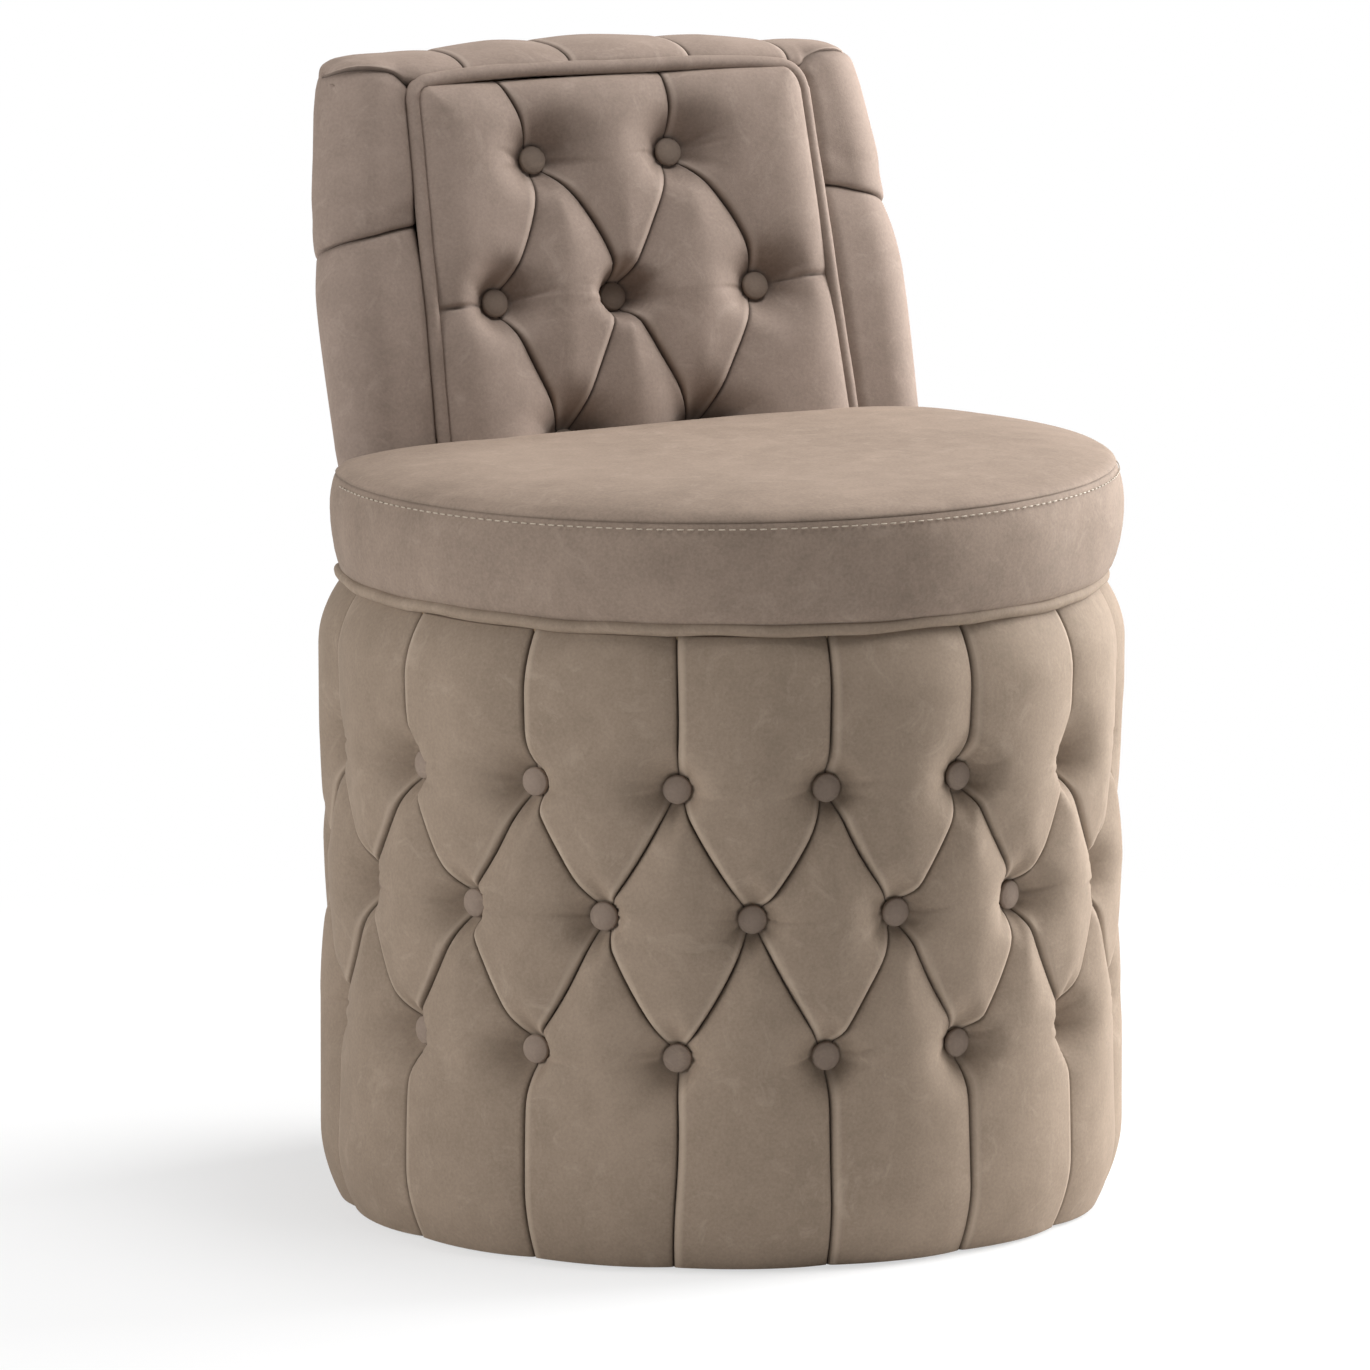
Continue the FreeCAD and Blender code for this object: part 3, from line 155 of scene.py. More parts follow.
# Button ties: waxed twine that runs from behind each button through the foam. It is knotted inside the
# sleeve of the drum and behind the front board of the backrest.
twine, tree, shader, where = blank_material("waxed_twine")
strands = noise(tree, where, scale=1400.0, detail=2.0)
coat(tree, shader, strands, (0.45, 0.38, 0.28), (0.70, 0.62, 0.48), roughness=0.6, strength=0.5,
     distance=0.0003)
dress(twine, "drum_ties", "front_panel_ties")


# Tufted drum cover: taupe nubuck leather over foam, pulled in by three staggered rows of buttons. Folds
# run from button to button and straight to the top and bottom edges, each upper lip lying over the lower.
# Hems are turned in under the base ring and on the deck.
DRUM_RADIUS = 0.250
COLUMNS = 16
HALF_PITCH = math.pi / COLUMNS
DRUM_ROWS = (0.131, 0.217, 0.297)
DRUM_LOW, DRUM_HIGH = 0.0015, 0.3918
TUFT_DEPTH = 0.0200
CREST_RISE = 0.0030
CUP_FLAT = 0.0092  # radius of the level bottom of a cup
BUTTON_REST, REST_EDGE = 0.0115, 0.0022  # radius of the leather that a button presses flat, and its edge
FAR = 1.0  # distance that counts as away from every crease


def smooth_piece(name, points, faces, fold=None):
    """Smooth mesh of points and faces, put into the scene. `fold` tells the leather how much painted shade a
    point gets near a crease, up to 1, or below 0 how much paler a lip is, partly scuffed and partly a painted
    highlight."""
    mesh = bpy.data.meshes.new(name)
    mesh.from_pydata(points.reshape(-1, 3).tolist(), [], faces)
    mesh.polygons.foreach_set("use_smooth", np.ones(len(faces), bool))
    if fold is not None:
        creases = mesh.attributes.new("fold", "FLOAT", "POINT")
        creases.data.foreach_set("value", fold.reshape(-1).astype(np.float32))
    mesh.update()
    piece = bpy.data.objects.new(name, mesh)
    bpy.context.scene.collection.objects.link(piece)
    return piece


def grid_index(shape, closed=True):
    """Point numbers of a grid; where it is closed, each row ends with its first point again."""
    index = np.arange(np.prod(shape)).reshape(shape)
    return np.concatenate([index, index[..., :1]], axis=-1) if closed else index


def grid_quads(index):
    """Four-cornered faces between the neighbours in the last two directions of a grid."""
    corners = [index[..., :-1, :-1], index[..., :-1, 1:], index[..., 1:, 1:], index[..., 1:, :-1]]
    return np.stack(corners, axis=-1).reshape(-1, 4)


def sheet_mesh(name, points, closed=False, fold=0.0):
    """Smooth mesh over a grid of points (rows, columns, 3); its last column joins the first where closed."""
    shape = points.shape[:2]
    quads = grid_quads(grid_index(shape, closed)).tolist()
    return smooth_piece(name, points, quads, np.broadcast_to(fold, shape))


def unit(value):
    """Value held between 0 and 1."""
    return np.clip(value, 0, 1)


def bell(offset, width):
    """Bell curve: 1 at no offset, falling off over the width."""
    return np.exp(-(offset / width) ** 2)


def eased(offset, width):
    """Smooth step from 0 to 1 across an offset of 0."""
    return 1 / (1 + np.exp(-offset / width))


def crowding(count, power):
    """Shares from 0 towards 1 that crowd at both ends."""
    t = np.linspace(-1, 1, count + 1)[:-1]
    return 0.5 + 0.5 * np.sign(t) * (1 - (1 - np.abs(t)) ** power)


def crowded(stations, between):
    """Levels that crowd towards each of the given stations."""
    low, high = np.array(stations[:-1])[:, None], np.array(stations[1:])[:, None]
    return np.append((low + (high - low) * crowding(between, 1.7)).reshape(-1), stations[-1])


def across_folds(stops, count):
    """Positions across a row of folds: each stretch between two stops gets `count` points that crowd
    towards both of its ends. `stops` is (rows, folds); also gives each point's distance to both ends."""
    start, end = stops[:, :-1, None], stops[:, 1:, None]
    at = start + (end - start) * crowding(count, 2.2)
    return at, np.maximum(at - start, 0), np.maximum(end - at, 0)


def lip(distance, reach):
    """Quarter-round lip: 1 at the crease, falling to 0 with a vertical start at the distance `reach`."""
    q = 1 - unit(distance / reach)
    return 1 - np.sqrt(1 - q ** 2)


def flank(distance, lip_share, lip_reach, slope_share, slope_reach, power):
    """One side of a crease: a quarter-round lip and a slope that eases out over a longer reach."""
    return lip_share * lip(distance, lip_reach) + slope_share * np.exp(-(distance / slope_reach) ** power)


def fold_depth(distance, over):
    """Depth of the leather beside a crease, as a share: where `over` is 1 a tight rolled lip on a full
    bulge, where it is 0 a slow slope that runs down under the lip, and a thin slit at the crease."""
    rolled = flank(distance, lip_share=0.34, lip_reach=0.0048, slope_share=0.46, slope_reach=0.027, power=1.4)
    sloped = flank(distance, lip_share=0.12, lip_reach=0.0036, slope_share=0.66, slope_reach=0.017, power=1.2)
    slit_share, slit_width = 0.20, 0.0009
    return over * rolled + (1 - over) * sloped + slit_share * unit(1 - distance / slit_width)


def crease_shade_mark(distance, over):
    """Marks for the leather's colour: 1 is painted shade in the crease, and below 0 the edge of the lip on
    top is paler, partly scuffed and partly a painted highlight.
    """
    # Painted shade darkens the crease; the paler lip edge is partly scuffing, partly painted highlight.
    crease_width, wear_and_highlight, lip_at, lip_width = 0.0006, 0.62, 0.0027, 0.0016
    return np.exp(-distance / crease_width) - wear_and_highlight * over * bell(distance - lip_at, lip_width)


def between_folds(to_start, to_end, over_start, over_end):
    """Depth share and painted crease shade of a pillow between two creases: the deeper depth and the nearer
    crease's mark, painted shade with a paler lip partly painted highlight.
    """
    depth = np.maximum(fold_depth(to_start, over_start), fold_depth(to_end, over_end))
    mark = np.where(to_start < to_end, crease_shade_mark(to_start, over_start), crease_shade_mark(to_end, over_end))
    return depth, mark


def joined(first, second):
    """Soft maximum of two depths."""
    return (first ** 3 + second ** 3) ** (1 / 3)


def tufted(depth, bottom, distance, reach, tight=1.0):
    """Depth joined with the cup round a button: level at `bottom` under it, then rising slowly to nothing
    at `reach` from its centre, or sooner where it is `tight`."""
    from_flat = (distance - CUP_FLAT) * tight
    depth = joined(depth, bottom * unit(1 - from_flat / (reach - CUP_FLAT)) ** 2.5)
    under = unit((BUTTON_REST - distance) / REST_EDGE)
    return depth * (1 - under) + bottom * under


def puckers(distance, turn, seed):
    """Small wrinkles that fan out to both sides of a button: narrow grooves along rays, deepest next to the
    button and gone about two buttons away; `seed` turns and weighs the rays a little differently."""
    groove_depth, groove_width, deepest_at, reach = 0.0019, 0.0017, 0.0175, 0.0140
    groove = np.zeros_like(distance)
    for ray, lean in enumerate((-0.42, -0.05, 0.36, 2.80, 3.16, 3.55)):
        away = turn - lean - 0.16 * np.sin(3.1 * seed + 1.7 * ray)
        weight = (0.65 + 0.35 * np.sin(2.3 * seed + 2.9 * ray)) * (np.cos(away) > 0)
        groove = groove + weight * bell(distance * np.sin(away), groove_width)
    return -groove_depth * groove * bell(distance - deepest_at, reach)


def pulled(angle):
    """How much harder the ties are pulled in on the right of the front than elsewhere, as a factor."""
    most, most_at, spread = 0.17, 0.88, 0.42
    return 1 + most * bell(angle - most_at, spread)


def wrapped(angle):
    """Angle folded into the half pitch to both sides of the nearest column."""
    return (angle + HALF_PITCH) % (2 * HALF_PITCH) - HALF_PITCH


def opening_share(z, rows):
    """How far the two folds of an odd column stand apart: 0 at and beyond the outer rows, 1 at the middle."""
    low, middle, high = rows
    return unit(np.minimum((z - low) / (middle - low), (high - z) / (high - middle)))


def fold_slant(z, rows, steep):
    """Factor from a level distance to a distance across the fold: 1 on the upright folds, `steep` between."""
    return 1 - (1 - steep) * (eased(z - rows[0], 0.005) - eased(z - rows[2], 0.005))


def lips_over(z, rows, odd, plain):
    """Which lips lie on top, by height: between the lower rows those of the odd columns, between the upper
    rows those of the even ones, beyond both the side given by `plain`; smooth steps join the zones."""
    first, second, third = [eased(z - row, 0.0025) for row in rows]
    lower, upper = first * (1 - second), second * (1 - third)
    return np.where(odd, lower, upper) + (1 - lower - upper) * plain


def pillows(to_start, to_end, z, rows, odd, side, slant):
    """Depth share and painted crease shade of the pillows between staggered rows, from level distances to
    both creases.
    """
    over_start, over_end = [lips_over(z, rows, odd, plain) for plain in (1 - side, side)]
    return between_folds(to_start * slant, to_end * slant, over_start, over_end)


def turned_in(row, radius, height):
    """Hem line: the points of a row drawn to one radius and height."""
    way = row[:, :2] / np.linalg.norm(row[:, :2], axis=-1, keepdims=True)
    return np.column_stack([radius * way, np.full(len(row), height)])


def drum_leather():
    """Cylinder whose radius falls by the fold depth beside each crease, by the cup at each button and by
    the rounding of the top and bottom edges. Its mesh columns follow the creases."""
    low, middle, high = DRUM_ROWS
    z = crowded([DRUM_LOW, *DRUM_ROWS, DRUM_HIGH], 34)
    column = np.arange(COLUMNS)
    odd = (2 * column + 1) * HALF_PITCH
    share = opening_share(z, DRUM_ROWS)[:, None]
    share = share + 0.075 * np.sin(math.pi * share) * np.where(z > middle, -1, 1)[:, None]
    sway = 0.045 * np.sin(math.pi * share) * np.sin(2.4 * column + 0.6)
    past_rows = np.where(z > high, z - high, np.maximum(low - z, 0))[:, None]
    drift = 0.008 * np.sin(past_rows * 34) * np.sin(1.9 * column)
    left = odd - HALF_PITCH * (share + sway * np.cos(1.3 * column)) + drift
    right = odd + HALF_PITCH * (share + sway) + drift
    stops = np.stack([left, right], axis=-1).reshape(len(z), -1)
    stops = np.hstack([stops, stops[:, :1] + 2 * math.pi])
    theta, to_start, to_end = across_folds(stops, 20)
    level = z[:, None, None]
    slant = fold_slant(level, DRUM_ROWS, 0.86) * DRUM_RADIUS
    is_odd = (np.arange(2 * COLUMNS) % 2 == 0)[None, :, None]
    side = 0.5 + 0.5 * np.tanh(np.sin(theta - 0.45) / 0.05)
    # The mark is painted shade in the creases, with paler lips that are partly scuffed and partly painted
    # highlight.
    depth, mark = pillows(to_start, to_end, level, DRUM_ROWS, is_odd, side, slant)
    full_depth, lost_at_ends, end_reach = 0.0140, 0.0065, 0.09
    depth = depth * (full_depth - lost_at_ends * unit(past_rows / end_reach)[:, :, None]) * pulled(theta)
    from_odd, from_even = wrapped(theta - HALF_PITCH), wrapped(theta)
    cup_reach, most_tight = 0.054, 1.10
    ripple = np.zeros_like(theta)
    for turn, row in zip((from_odd, from_even, from_odd), DRUM_ROWS):
        across, rise = turn * DRUM_RADIUS, level - row
        distance = np.hypot(across, rise)
        tight = 1 + most_tight * unit((1 - 2 * side) * across / 0.012)
        bottom = (TUFT_DEPTH + CREST_RISE) * pulled(theta - turn)
        depth = tufted(depth, bottom, distance, cup_reach, tight)
        ripple = ripple + puckers(distance, np.arctan2(rise, across), np.round((theta - turn) / HALF_PITCH))
    low_edge = 0.012 * unit(1 - (level - DRUM_LOW) / 0.046) ** 2
    high_edge = 0.0150 * unit(1 - (DRUM_HIGH - level) / 0.040) ** 2
    radius = DRUM_RADIUS + CREST_RISE - low_edge - high_edge - depth + ripple
    points = np.stack([radius * np.sin(theta), -radius * np.cos(theta), level + 0 * theta], axis=-1)
    points = points.reshape(len(z), -1, 3)
    hem = [turned_in(points[0], 0.206, 0.0048), turned_in(points[0], 0.226, DRUM_LOW + 0.0006)]
    tuck = [turned_in(points[-1], 0.231, DRUM_HIGH + 0.001), turned_in(points[-1], 0.222, DRUM_HIGH - 0.001)]
    fold = np.pad(mark.reshape(len(z), -1), ((len(hem), len(tuck)), (0, 0)))
    return sheet_mesh("drum_leather", np.stack([*hem, *points, *tuck]), closed=True, fold=fold)


def nubuck_group():
    """Nubuck nap: two tones mixed by broad and fine mottling, with painted shade in the creases, paler lips
    that are partly scuffed and partly painted highlight, and faint scuffs; gives the colour, the roughness
    and the height of the grain."""
    group = bpy.data.node_groups.new("nubuck_nap", "ShaderNodeTree")
    taken = {"Vector": "Vector", "Fold": "Float", "Dark": "Color", "Light": "Color", "Crease": "Color",
             "Worn": "Color"}
    given = {"Colour": "Color", "Roughness": "Float", "Height": "Float"}
    for way, sockets in (("INPUT", taken), ("OUTPUT", given)):
        for name, kind in sockets.items():
            group.interface.new_socket(name, in_out=way, socket_type="NodeSocket" + kind)
    source = group.nodes.new("NodeGroupInput").outputs
    result = group.nodes.new("NodeGroupOutput").inputs

    def mixed(first, second, share):
        """Two factors mixed by a fixed share."""
        return new_node(group, "ShaderNodeMix", ("A", first), ("B", second), Factor=share).outputs["Result"]

    def coloured(factor, first, second):
        """Two colours mixed by a factor."""
        return new_node(group, "ShaderNodeMix", ("Factor", factor), ("A", first), ("B", second),
                        data_type="RGBA").outputs["Result"]

    def ranged(value, **limits):
        """Factor stretched from one range to another."""
        return new_node(group, "ShaderNodeMapRange", ("Value", value), **limits).outputs["Result"]

    broad = noise(group, source["Vector"], scale=9.0, detail=3.0, roughness=0.55)
    cloudy = noise(group, source["Vector"], scale=48.0, detail=5.0, roughness=0.65)
    nap = noise(group, source["Vector"], scale=480.0, detail=3.0, roughness=0.6)
    fine = noise(group, source["Vector"], scale=1900.0, detail=2.0, roughness=0.5)
    streaks = noise(group, source["Vector"], scale=34.0, detail=6.0, roughness=0.7, distortion=1.6)
    mottle = mixed(mixed(broad, cloudy, 0.5), nap, 0.34)
    tone = coloured(ranged(mottle, From_Min=0.38, From_Max=0.62), source["Dark"], source["Light"])
    scuffs = ranged(streaks, From_Min=0.55, From_Max=0.75, To_Max=0.36)
    # Paler lips where the marks fall below 0: partly scuffing, partly painted highlight.
    scuffs_and_lip_highlight = calculated(group, "SUBTRACT", scuffs, source["Fold"])
    worn_and_highlight = coloured(scuffs_and_lip_highlight, tone, source["Worn"])
    # The crease colour laid on by the marks is painted shade.
    group.links.new(coloured(source["Fold"], worn_and_highlight, source["Crease"]), result["Colour"])
    group.links.new(ranged(mottle, To_Min=0.72, To_Max=0.9), result["Roughness"])
    group.links.new(mixed(nap, fine, 0.5), result["Height"])
    return group


NUBUCK = nubuck_group()


def nubuck(name, dark, light, crease, worn_and_highlight):
    """Nubuck leather of two tones, with painted shade in its creases and paler lips, partly scuffed and
    partly painted highlight, and a soft nap and grain.
    """
    material, tree, shader, where = blank_material(name)
    # The fold attribute carries the painted crease shade and the paler lips, partly painted highlight.
    creases = new_node(tree, "ShaderNodeAttribute", attribute_name="fold").outputs["Fac"]
    nap = new_node(tree, "ShaderNodeGroup", ("Fold", creases), ("Vector", where), node_tree=NUBUCK,
                   Dark=(*dark, 1), Light=(*light, 1), Crease=(*crease, 1), Worn=(*worn_and_highlight, 1))
    tree.links.new(nap.outputs["Colour"], shader.inputs["Base Color"])
    tree.links.new(nap.outputs["Roughness"], shader.inputs["Roughness"])
    shine = {"Specular IOR Level": 0.20, "Sheen Weight": 0.10, "Sheen Roughness": 0.5,
             "Sheen Tint": (0.62, 0.49, 0.38, 1)}
    for socket, value in shine.items():
        shader.inputs[socket].default_value = value
    bump(tree, shader, nap.outputs["Height"], strength=0.24, distance=0.0006)
    return material


# Pale nubuck colour for scuffs, also laid on the lips as part scuffing, part painted highlight; each crease
# colour below is painted shade.
WORN_AND_HIGHLIGHT = (0.430, 0.345, 0.270)
taupe = nubuck("taupe_nubuck", dark=(0.226, 0.172, 0.127), light=(0.298, 0.229, 0.173),
               crease=(0.045, 0.034, 0.026), worn_and_highlight=WORN_AND_HIGHLIGHT)


def leather_piece(piece, material, *nodes):
    """Finishes a leather piece: its material, the CAD nodes it stands for and the body it rides on."""
    piece.data.materials.append(material)
    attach(piece, "root")
    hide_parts(*nodes)
    return piece


drum = leather_piece(drum_leather(), taupe, "drum_cover", "drum_foam")


# Covered buttons of the drum: domed metal shells wrapped in the same leather, drawn in on their ties
# until they sit in the cups of the cover.
BUTTON_SUNK = 0.0004  # depth of a button's foot point under the bottom of its cup


def button_mesh(name, centres, ways):
    """Turned cap carried to each centre along its outward way: radius and height follow a quarter-round rim
    and a shallow dome; the crease under the rim is painted dark, as painted shade."""
    turn = np.linspace(0, 2 * math.pi, 29)[:-1]
    rim = np.linspace(0, math.pi / 2, 6)
    radius = np.concatenate([[0.0060, 0.0084], 0.0072 + 0.0018 * np.cos(rim),
                             [0.0062, 0.0046, 0.0026, 0.0002]])
    height = np.concatenate([[0.0004, 0.0008], 0.0026 + 0.0022 * np.sin(rim),
                             [0.0053, 0.0057, 0.0060, 0.0061]])
    first = np.cross([0, 0, 1], ways)
    first /= np.linalg.norm(first, axis=1, keepdims=True)
    second = np.cross(ways, first)
    flat = radius[:, None, None] * (first[:, None, None] * np.cos(turn)[:, None]
                                    + second[:, None, None] * np.sin(turn)[:, None])
    points = centres[:, None, None] + flat + height[:, None, None] * ways[:, None, None]
    index = grid_index(points.shape[:3])
    caps = index[:, -1, :-1].tolist() + index[:, 0, -2::-1].tolist()
    dark = np.zeros(points.shape[:3])
    # Painted shade in the crease under the rim.
    dark[:, :2] = 0.8
    return smooth_piece(name, points, grid_quads(index).tolist() + caps, dark)


def round_ways(angles):
    """Level outward directions at angles from the front."""
    return np.stack([np.sin(angles), -np.cos(angles), 0 * angles], axis=-1)


even_angles = 2 * np.arange(COLUMNS) * HALF_PITCH
odd_angles = even_angles + HALF_PITCH
button_angles = np.concatenate([odd_angles, even_angles, odd_angles])
button_ways = round_ways(button_angles)
cup_bottom = DRUM_RADIUS + CREST_RISE - (TUFT_DEPTH + CREST_RISE) * pulled(button_angles)
button_centres = button_ways * (cup_bottom - BUTTON_SUNK)[:, None]
button_centres[:, 2] = np.repeat(DRUM_ROWS, COLUMNS)
# Its crease colour is painted shade, its pale colour partly painted highlight on the lips.
button_leather = nubuck("button_nubuck", dark=(0.222, 0.171, 0.136), light=(0.268, 0.208, 0.168),
                        crease=(0.05, 0.038, 0.03), worn_and_highlight=WORN_AND_HIGHLIGHT)
leather_piece(button_mesh("drum_button_caps", button_centres, button_ways), button_leather, "drum_buttons")


# Seat pad: a crowned top panel and a boxing strip sewn together over foam, drawn down on the seat board.
# Its rear is cut straight and leans with the backrest.
SEAT_CENTRE = -0.020
SEAT_SHIFT = 0.002
SEAT_FOOT, SEAT_SEAM = 0.3945, 0.4622
LEAN = math.radians(15.5)
PANEL_BASE = np.array([0.0, 0.102, 0.475])


def panel_depth(z):
    """Depth of the backrest's front plane at a height."""
    return PANEL_BASE[1] + (z - PANEL_BASE[2]) * math.tan(LEAN)


def seam_tilt(turn):
    """How much higher than its mean the seat's seam stands at an angle from the front, most on the right."""
    return 0.0018 * np.sin(turn + math.radians(27))


def hump(value, start, end):
    """Half a sine wave between two stations, 0 outside."""
    return np.sin(math.pi * unit((value - start) / (end - start)))


def seat_leather():
    """Rays from a point near the middle out to a circle cut by the backrest's plane, its corners rounded
    by a soft minimum. The profile runs up the bulging boxing, dips at the seam and rises to the crown; the
    seam stands a little higher on the right."""
    turn = np.linspace(-math.pi, math.pi, 361)[:-1]
    # Profile of the boxing, the seam and the edge of the top: level heights and radii.
    rise = np.array([0.3950, 0.3962, 0.3985, 0.4020, 0.4070, 0.4140, 0.4220, 0.4300, 0.4370, 0.4430, 0.4480,
                     0.4520, 0.4548, 0.4565, 0.4574, 0.4578, 0.4581, 0.4588, 0.4598, 0.4612, 0.4630])
    reach = np.array([0.2280, 0.2360, 0.2400, 0.2424, 0.2443, 0.2460, 0.2472, 0.2479, 0.2481, 0.2478, 0.2471,
                      0.2461, 0.2452, 0.2445, 0.2440, 0.2434, 0.2439, 0.2440, 0.2434, 0.2417, 0.2385])
    foot, seam_at, widest = rise[0], 0.4578, reach.max()
    top_foot, top_rise, top_radius = 0.4579, rise[-1], reach[-1]
    on_profile = len(rise)
    crown = np.maximum(np.linspace(1, 0, 60)[1:] ** 1.4, 0.0015)
    rise = np.concatenate([rise, np.full(len(crown), top_rise)])[:, None]
    reach = np.concatenate([reach, top_radius * crown])[:, None]
    way_x, way_y = np.sin(turn), -np.cos(turn)
    outer = np.maximum(reach, top_radius)
    share = np.minimum(reach / top_radius, 1.0)
    along = -way_y * SEAT_CENTRE + np.sqrt((way_y * SEAT_CENTRE) ** 2 - SEAT_CENTRE ** 2 + outer ** 2)
    seam = SEAT_SEAM + seam_tilt(turn) * share
    boxed = SEAT_FOOT + (rise - foot) / (seam_at - foot) * (seam - SEAT_FOOT)
    lifted = np.where(rise < top_foot, boxed, seam + rise - seam_at)
    rear = panel_depth(np.minimum(lifted, 0.470)) + 0.0005 - 0.3 * (widest - outer)
    back = np.where(way_y > 0.05, (rear - SEAT_CENTRE) / np.maximum(way_y, 0.05), 9.0)
    sharpness = 34.0
    length = (along ** -sharpness + back ** -sharpness) ** (-1 / sharpness) * share
    sag = (0.0011 * np.sin(7 * turn + 0.4) + 0.0006 * np.sin(17 * turn)) * hump(rise, 0.400, 0.456)
    length = length + np.where(way_y < 0.3, sag, 0)
    x, y = way_x * length + SEAT_SHIFT, SEAT_CENTRE + way_y * length
    from_axis = unit(np.hypot(x, y) / top_radius)
    hollow = 0.0012 * np.sin(11 * x + 1) * np.sin(9 * y + 30 * x * y)
    crowned = (0.0086 + hollow) * (1 - from_axis ** 8)
    edge_share = 1 - 0.30 * unit((share - 0.93) / 0.07) ** 2
    z = lifted + crowned * edge_share * unit((rise - top_foot) / (top_rise - top_foot))
    seam_mark = 0.35 * np.exp(-np.abs(rise - seam_at) / 0.0005)
    fold = seam_mark * (np.arange(len(rise)) < on_profile)[:, None]
    return sheet_mesh("seat_leather", np.stack([x, y, z], axis=-1), closed=True, fold=fold)


# A darker, warmer copy of the taupe nubuck: painted shade that tones down the seat's top, which faces the
# light from above.
seat_nubuck_painted_shade = nubuck("seat_nubuck_painted_shade", dark=(0.204, 0.154, 0.120), light=(0.290, 0.221, 0.174),
                     crease=(0.05, 0.038, 0.03), worn_and_highlight=(0.39, 0.31, 0.25))
seat = leather_piece(seat_leather(), seat_nubuck_painted_shade, "seat_cover", "seat_foam")


# Top stitch of the seat: cream thread in short even stitches just below the seam. It holds down the
# turned-in edge of the boxing.
def stitch_row(name):
    """Small capsules set round the boxing at an even pitch, each a six-sided rod with drawn-in ends."""
    pitch, half, thick, radius, height = 0.0062, 0.0021, 0.00045, 0.2462, 0.4586
    left_end, right_end = -102, 104
    count = int(0.2455 * math.radians(right_end - left_end) / pitch)
    turn = np.linspace(math.radians(left_end), math.radians(right_end), count)
    out = round_ways(turn)
    tangent = round_ways(turn + math.pi / 2)
    up = np.array([0.0, 0.0, 1.0])
    steps = np.array([-1.0, -0.75, 0.75, 1.0]) * half
    girth = np.array([1 / 3, 1, 1, 1 / 3]) * thick
    ring = np.linspace(0, 2 * math.pi, 7)[:-1]
    centre = out * radius + np.array([SEAT_SHIFT, 0, height])
    centre[:, 2] += seam_tilt(turn)
    across = np.cos(ring)[:, None] * out[:, None, None] + np.sin(ring)[:, None] * up
    points = (centre[:, None, None] + tangent[:, None, None] * steps[:, None, None]
              + girth[:, None, None] * across)
    index = grid_index(points.shape[:3])
    caps = index[:, 0, :-1].tolist() + index[:, -1, -2::-1].tolist()
    return smooth_piece(name, points, grid_quads(index)[:, [0, 3, 2, 1]].tolist() + caps)


thread, tree, shader, where = blank_material("cream_thread")
strands = noise(tree, where, scale=2600.0, detail=2.0)
coat(tree, shader, strands, (0.32, 0.26, 0.20), (0.46, 0.39, 0.31), roughness=0.55, strength=0.4,
     distance=0.0002)
stitches = stitch_row("seat_top_stitch")
stitches.data.materials.append(thread)
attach(stitches, "root")


# Welt between seat and drum: a cord wrapped in leather, sewn into the joint and tucked in behind the
# backrest at both ends.
def tube(name, path, radius, seed):
    """Round tube carried along a path of points: two directions across the path turn a circle, whose
    radius swells a little in places; the ends are closed by drawing the last rings in."""
    ahead = np.gradient(path, axis=0)
    ahead /= np.linalg.norm(ahead, axis=1, keepdims=True)
    side = np.cross(ahead, np.cross(np.roll(ahead, 1, axis=1) + [0.3, 0.2, 0.1], ahead))
    side -= ahead * np.sum(side * ahead, axis=1, keepdims=True)
    side /= np.linalg.norm(side, axis=1, keepdims=True)
    other = np.cross(ahead, side)
    ring = np.linspace(0, 2 * math.pi, 17)[:-1]
    run = np.arange(len(path))
    swell = 1 + 0.025 * np.sin(0.21 * run + seed) + 0.018 * np.sin(0.57 * run + 2 * seed)
    swell[[0, -1]] = 0.02
    swell[[1, -2]] *= 0.8
    spread = np.cos(ring)[None, :, None] * side[:, None] + np.sin(ring)[None, :, None] * other[:, None]
    points = path[:, None] + radius * swell[:, None, None] * spread
    return sheet_mesh(name, points[:, ::-1], closed=True)


welt_sweep = np.radians(np.linspace(-117, 117, 280))
seat_welt_path = round_ways(welt_sweep) * 0.238 + np.array([0, 0, 0.3955])
seat_welt_path[:, 2] += 0.0006 * np.sin(9 * welt_sweep) + 0.0004 * np.sin(23 * welt_sweep)
seat_welt_path[:, 2] -= 0.0012 * np.sin(welt_sweep)
leather_piece(tube("seat_welt_cord", seat_welt_path, radius=0.0042, seed=0.7), taupe, "seat_welt")


# Front panel of the backrest: tufted leather over foam on the front board. Two buttons above, three in
# the middle and two at the seat line pull it in; its folds run between them and up to the welt.
PANEL_UP = np.array([0.0, math.sin(LEAN), math.cos(LEAN)])
PANEL_OUT = np.array([0.0, -math.cos(LEAN), math.sin(LEAN)])
PANEL_TOP = 0.222
PANEL_HALF_LOW, PANEL_HALF_HIGH = 0.144, 0.137
LEFT_CORNER, RIGHT_CORNER = 0.010, 0.016
PANEL_ROWS = (-0.008, 0.083, 0.172)
LOW_PAIR, MID_THREE, HIGH_PAIR = (-0.054, 0.038), (-0.092, -0.007, 0.091), (-0.055, 0.041)
FOOT_FOLDS, TOP_FOLDS = (-0.060, 0.044), (-0.078, 0.037)
PANEL_TUFT_DEPTH = 0.0105
# Each panel button: across, up, how much deeper than the others it is sunk, and the reach of its cup.
PANEL_TUFTS = np.array(
    [(across, PANEL_ROWS[0], 0.004, 0.064) for across in LOW_PAIR]
    + list(zip(MID_THREE, (PANEL_ROWS[1],) * 3, (0.002, 0.007, 0.0), (0.048, 0.034, 0.054)))
    + [(across, PANEL_ROWS[2], 0.0, 0.054) for across in HIGH_PAIR])


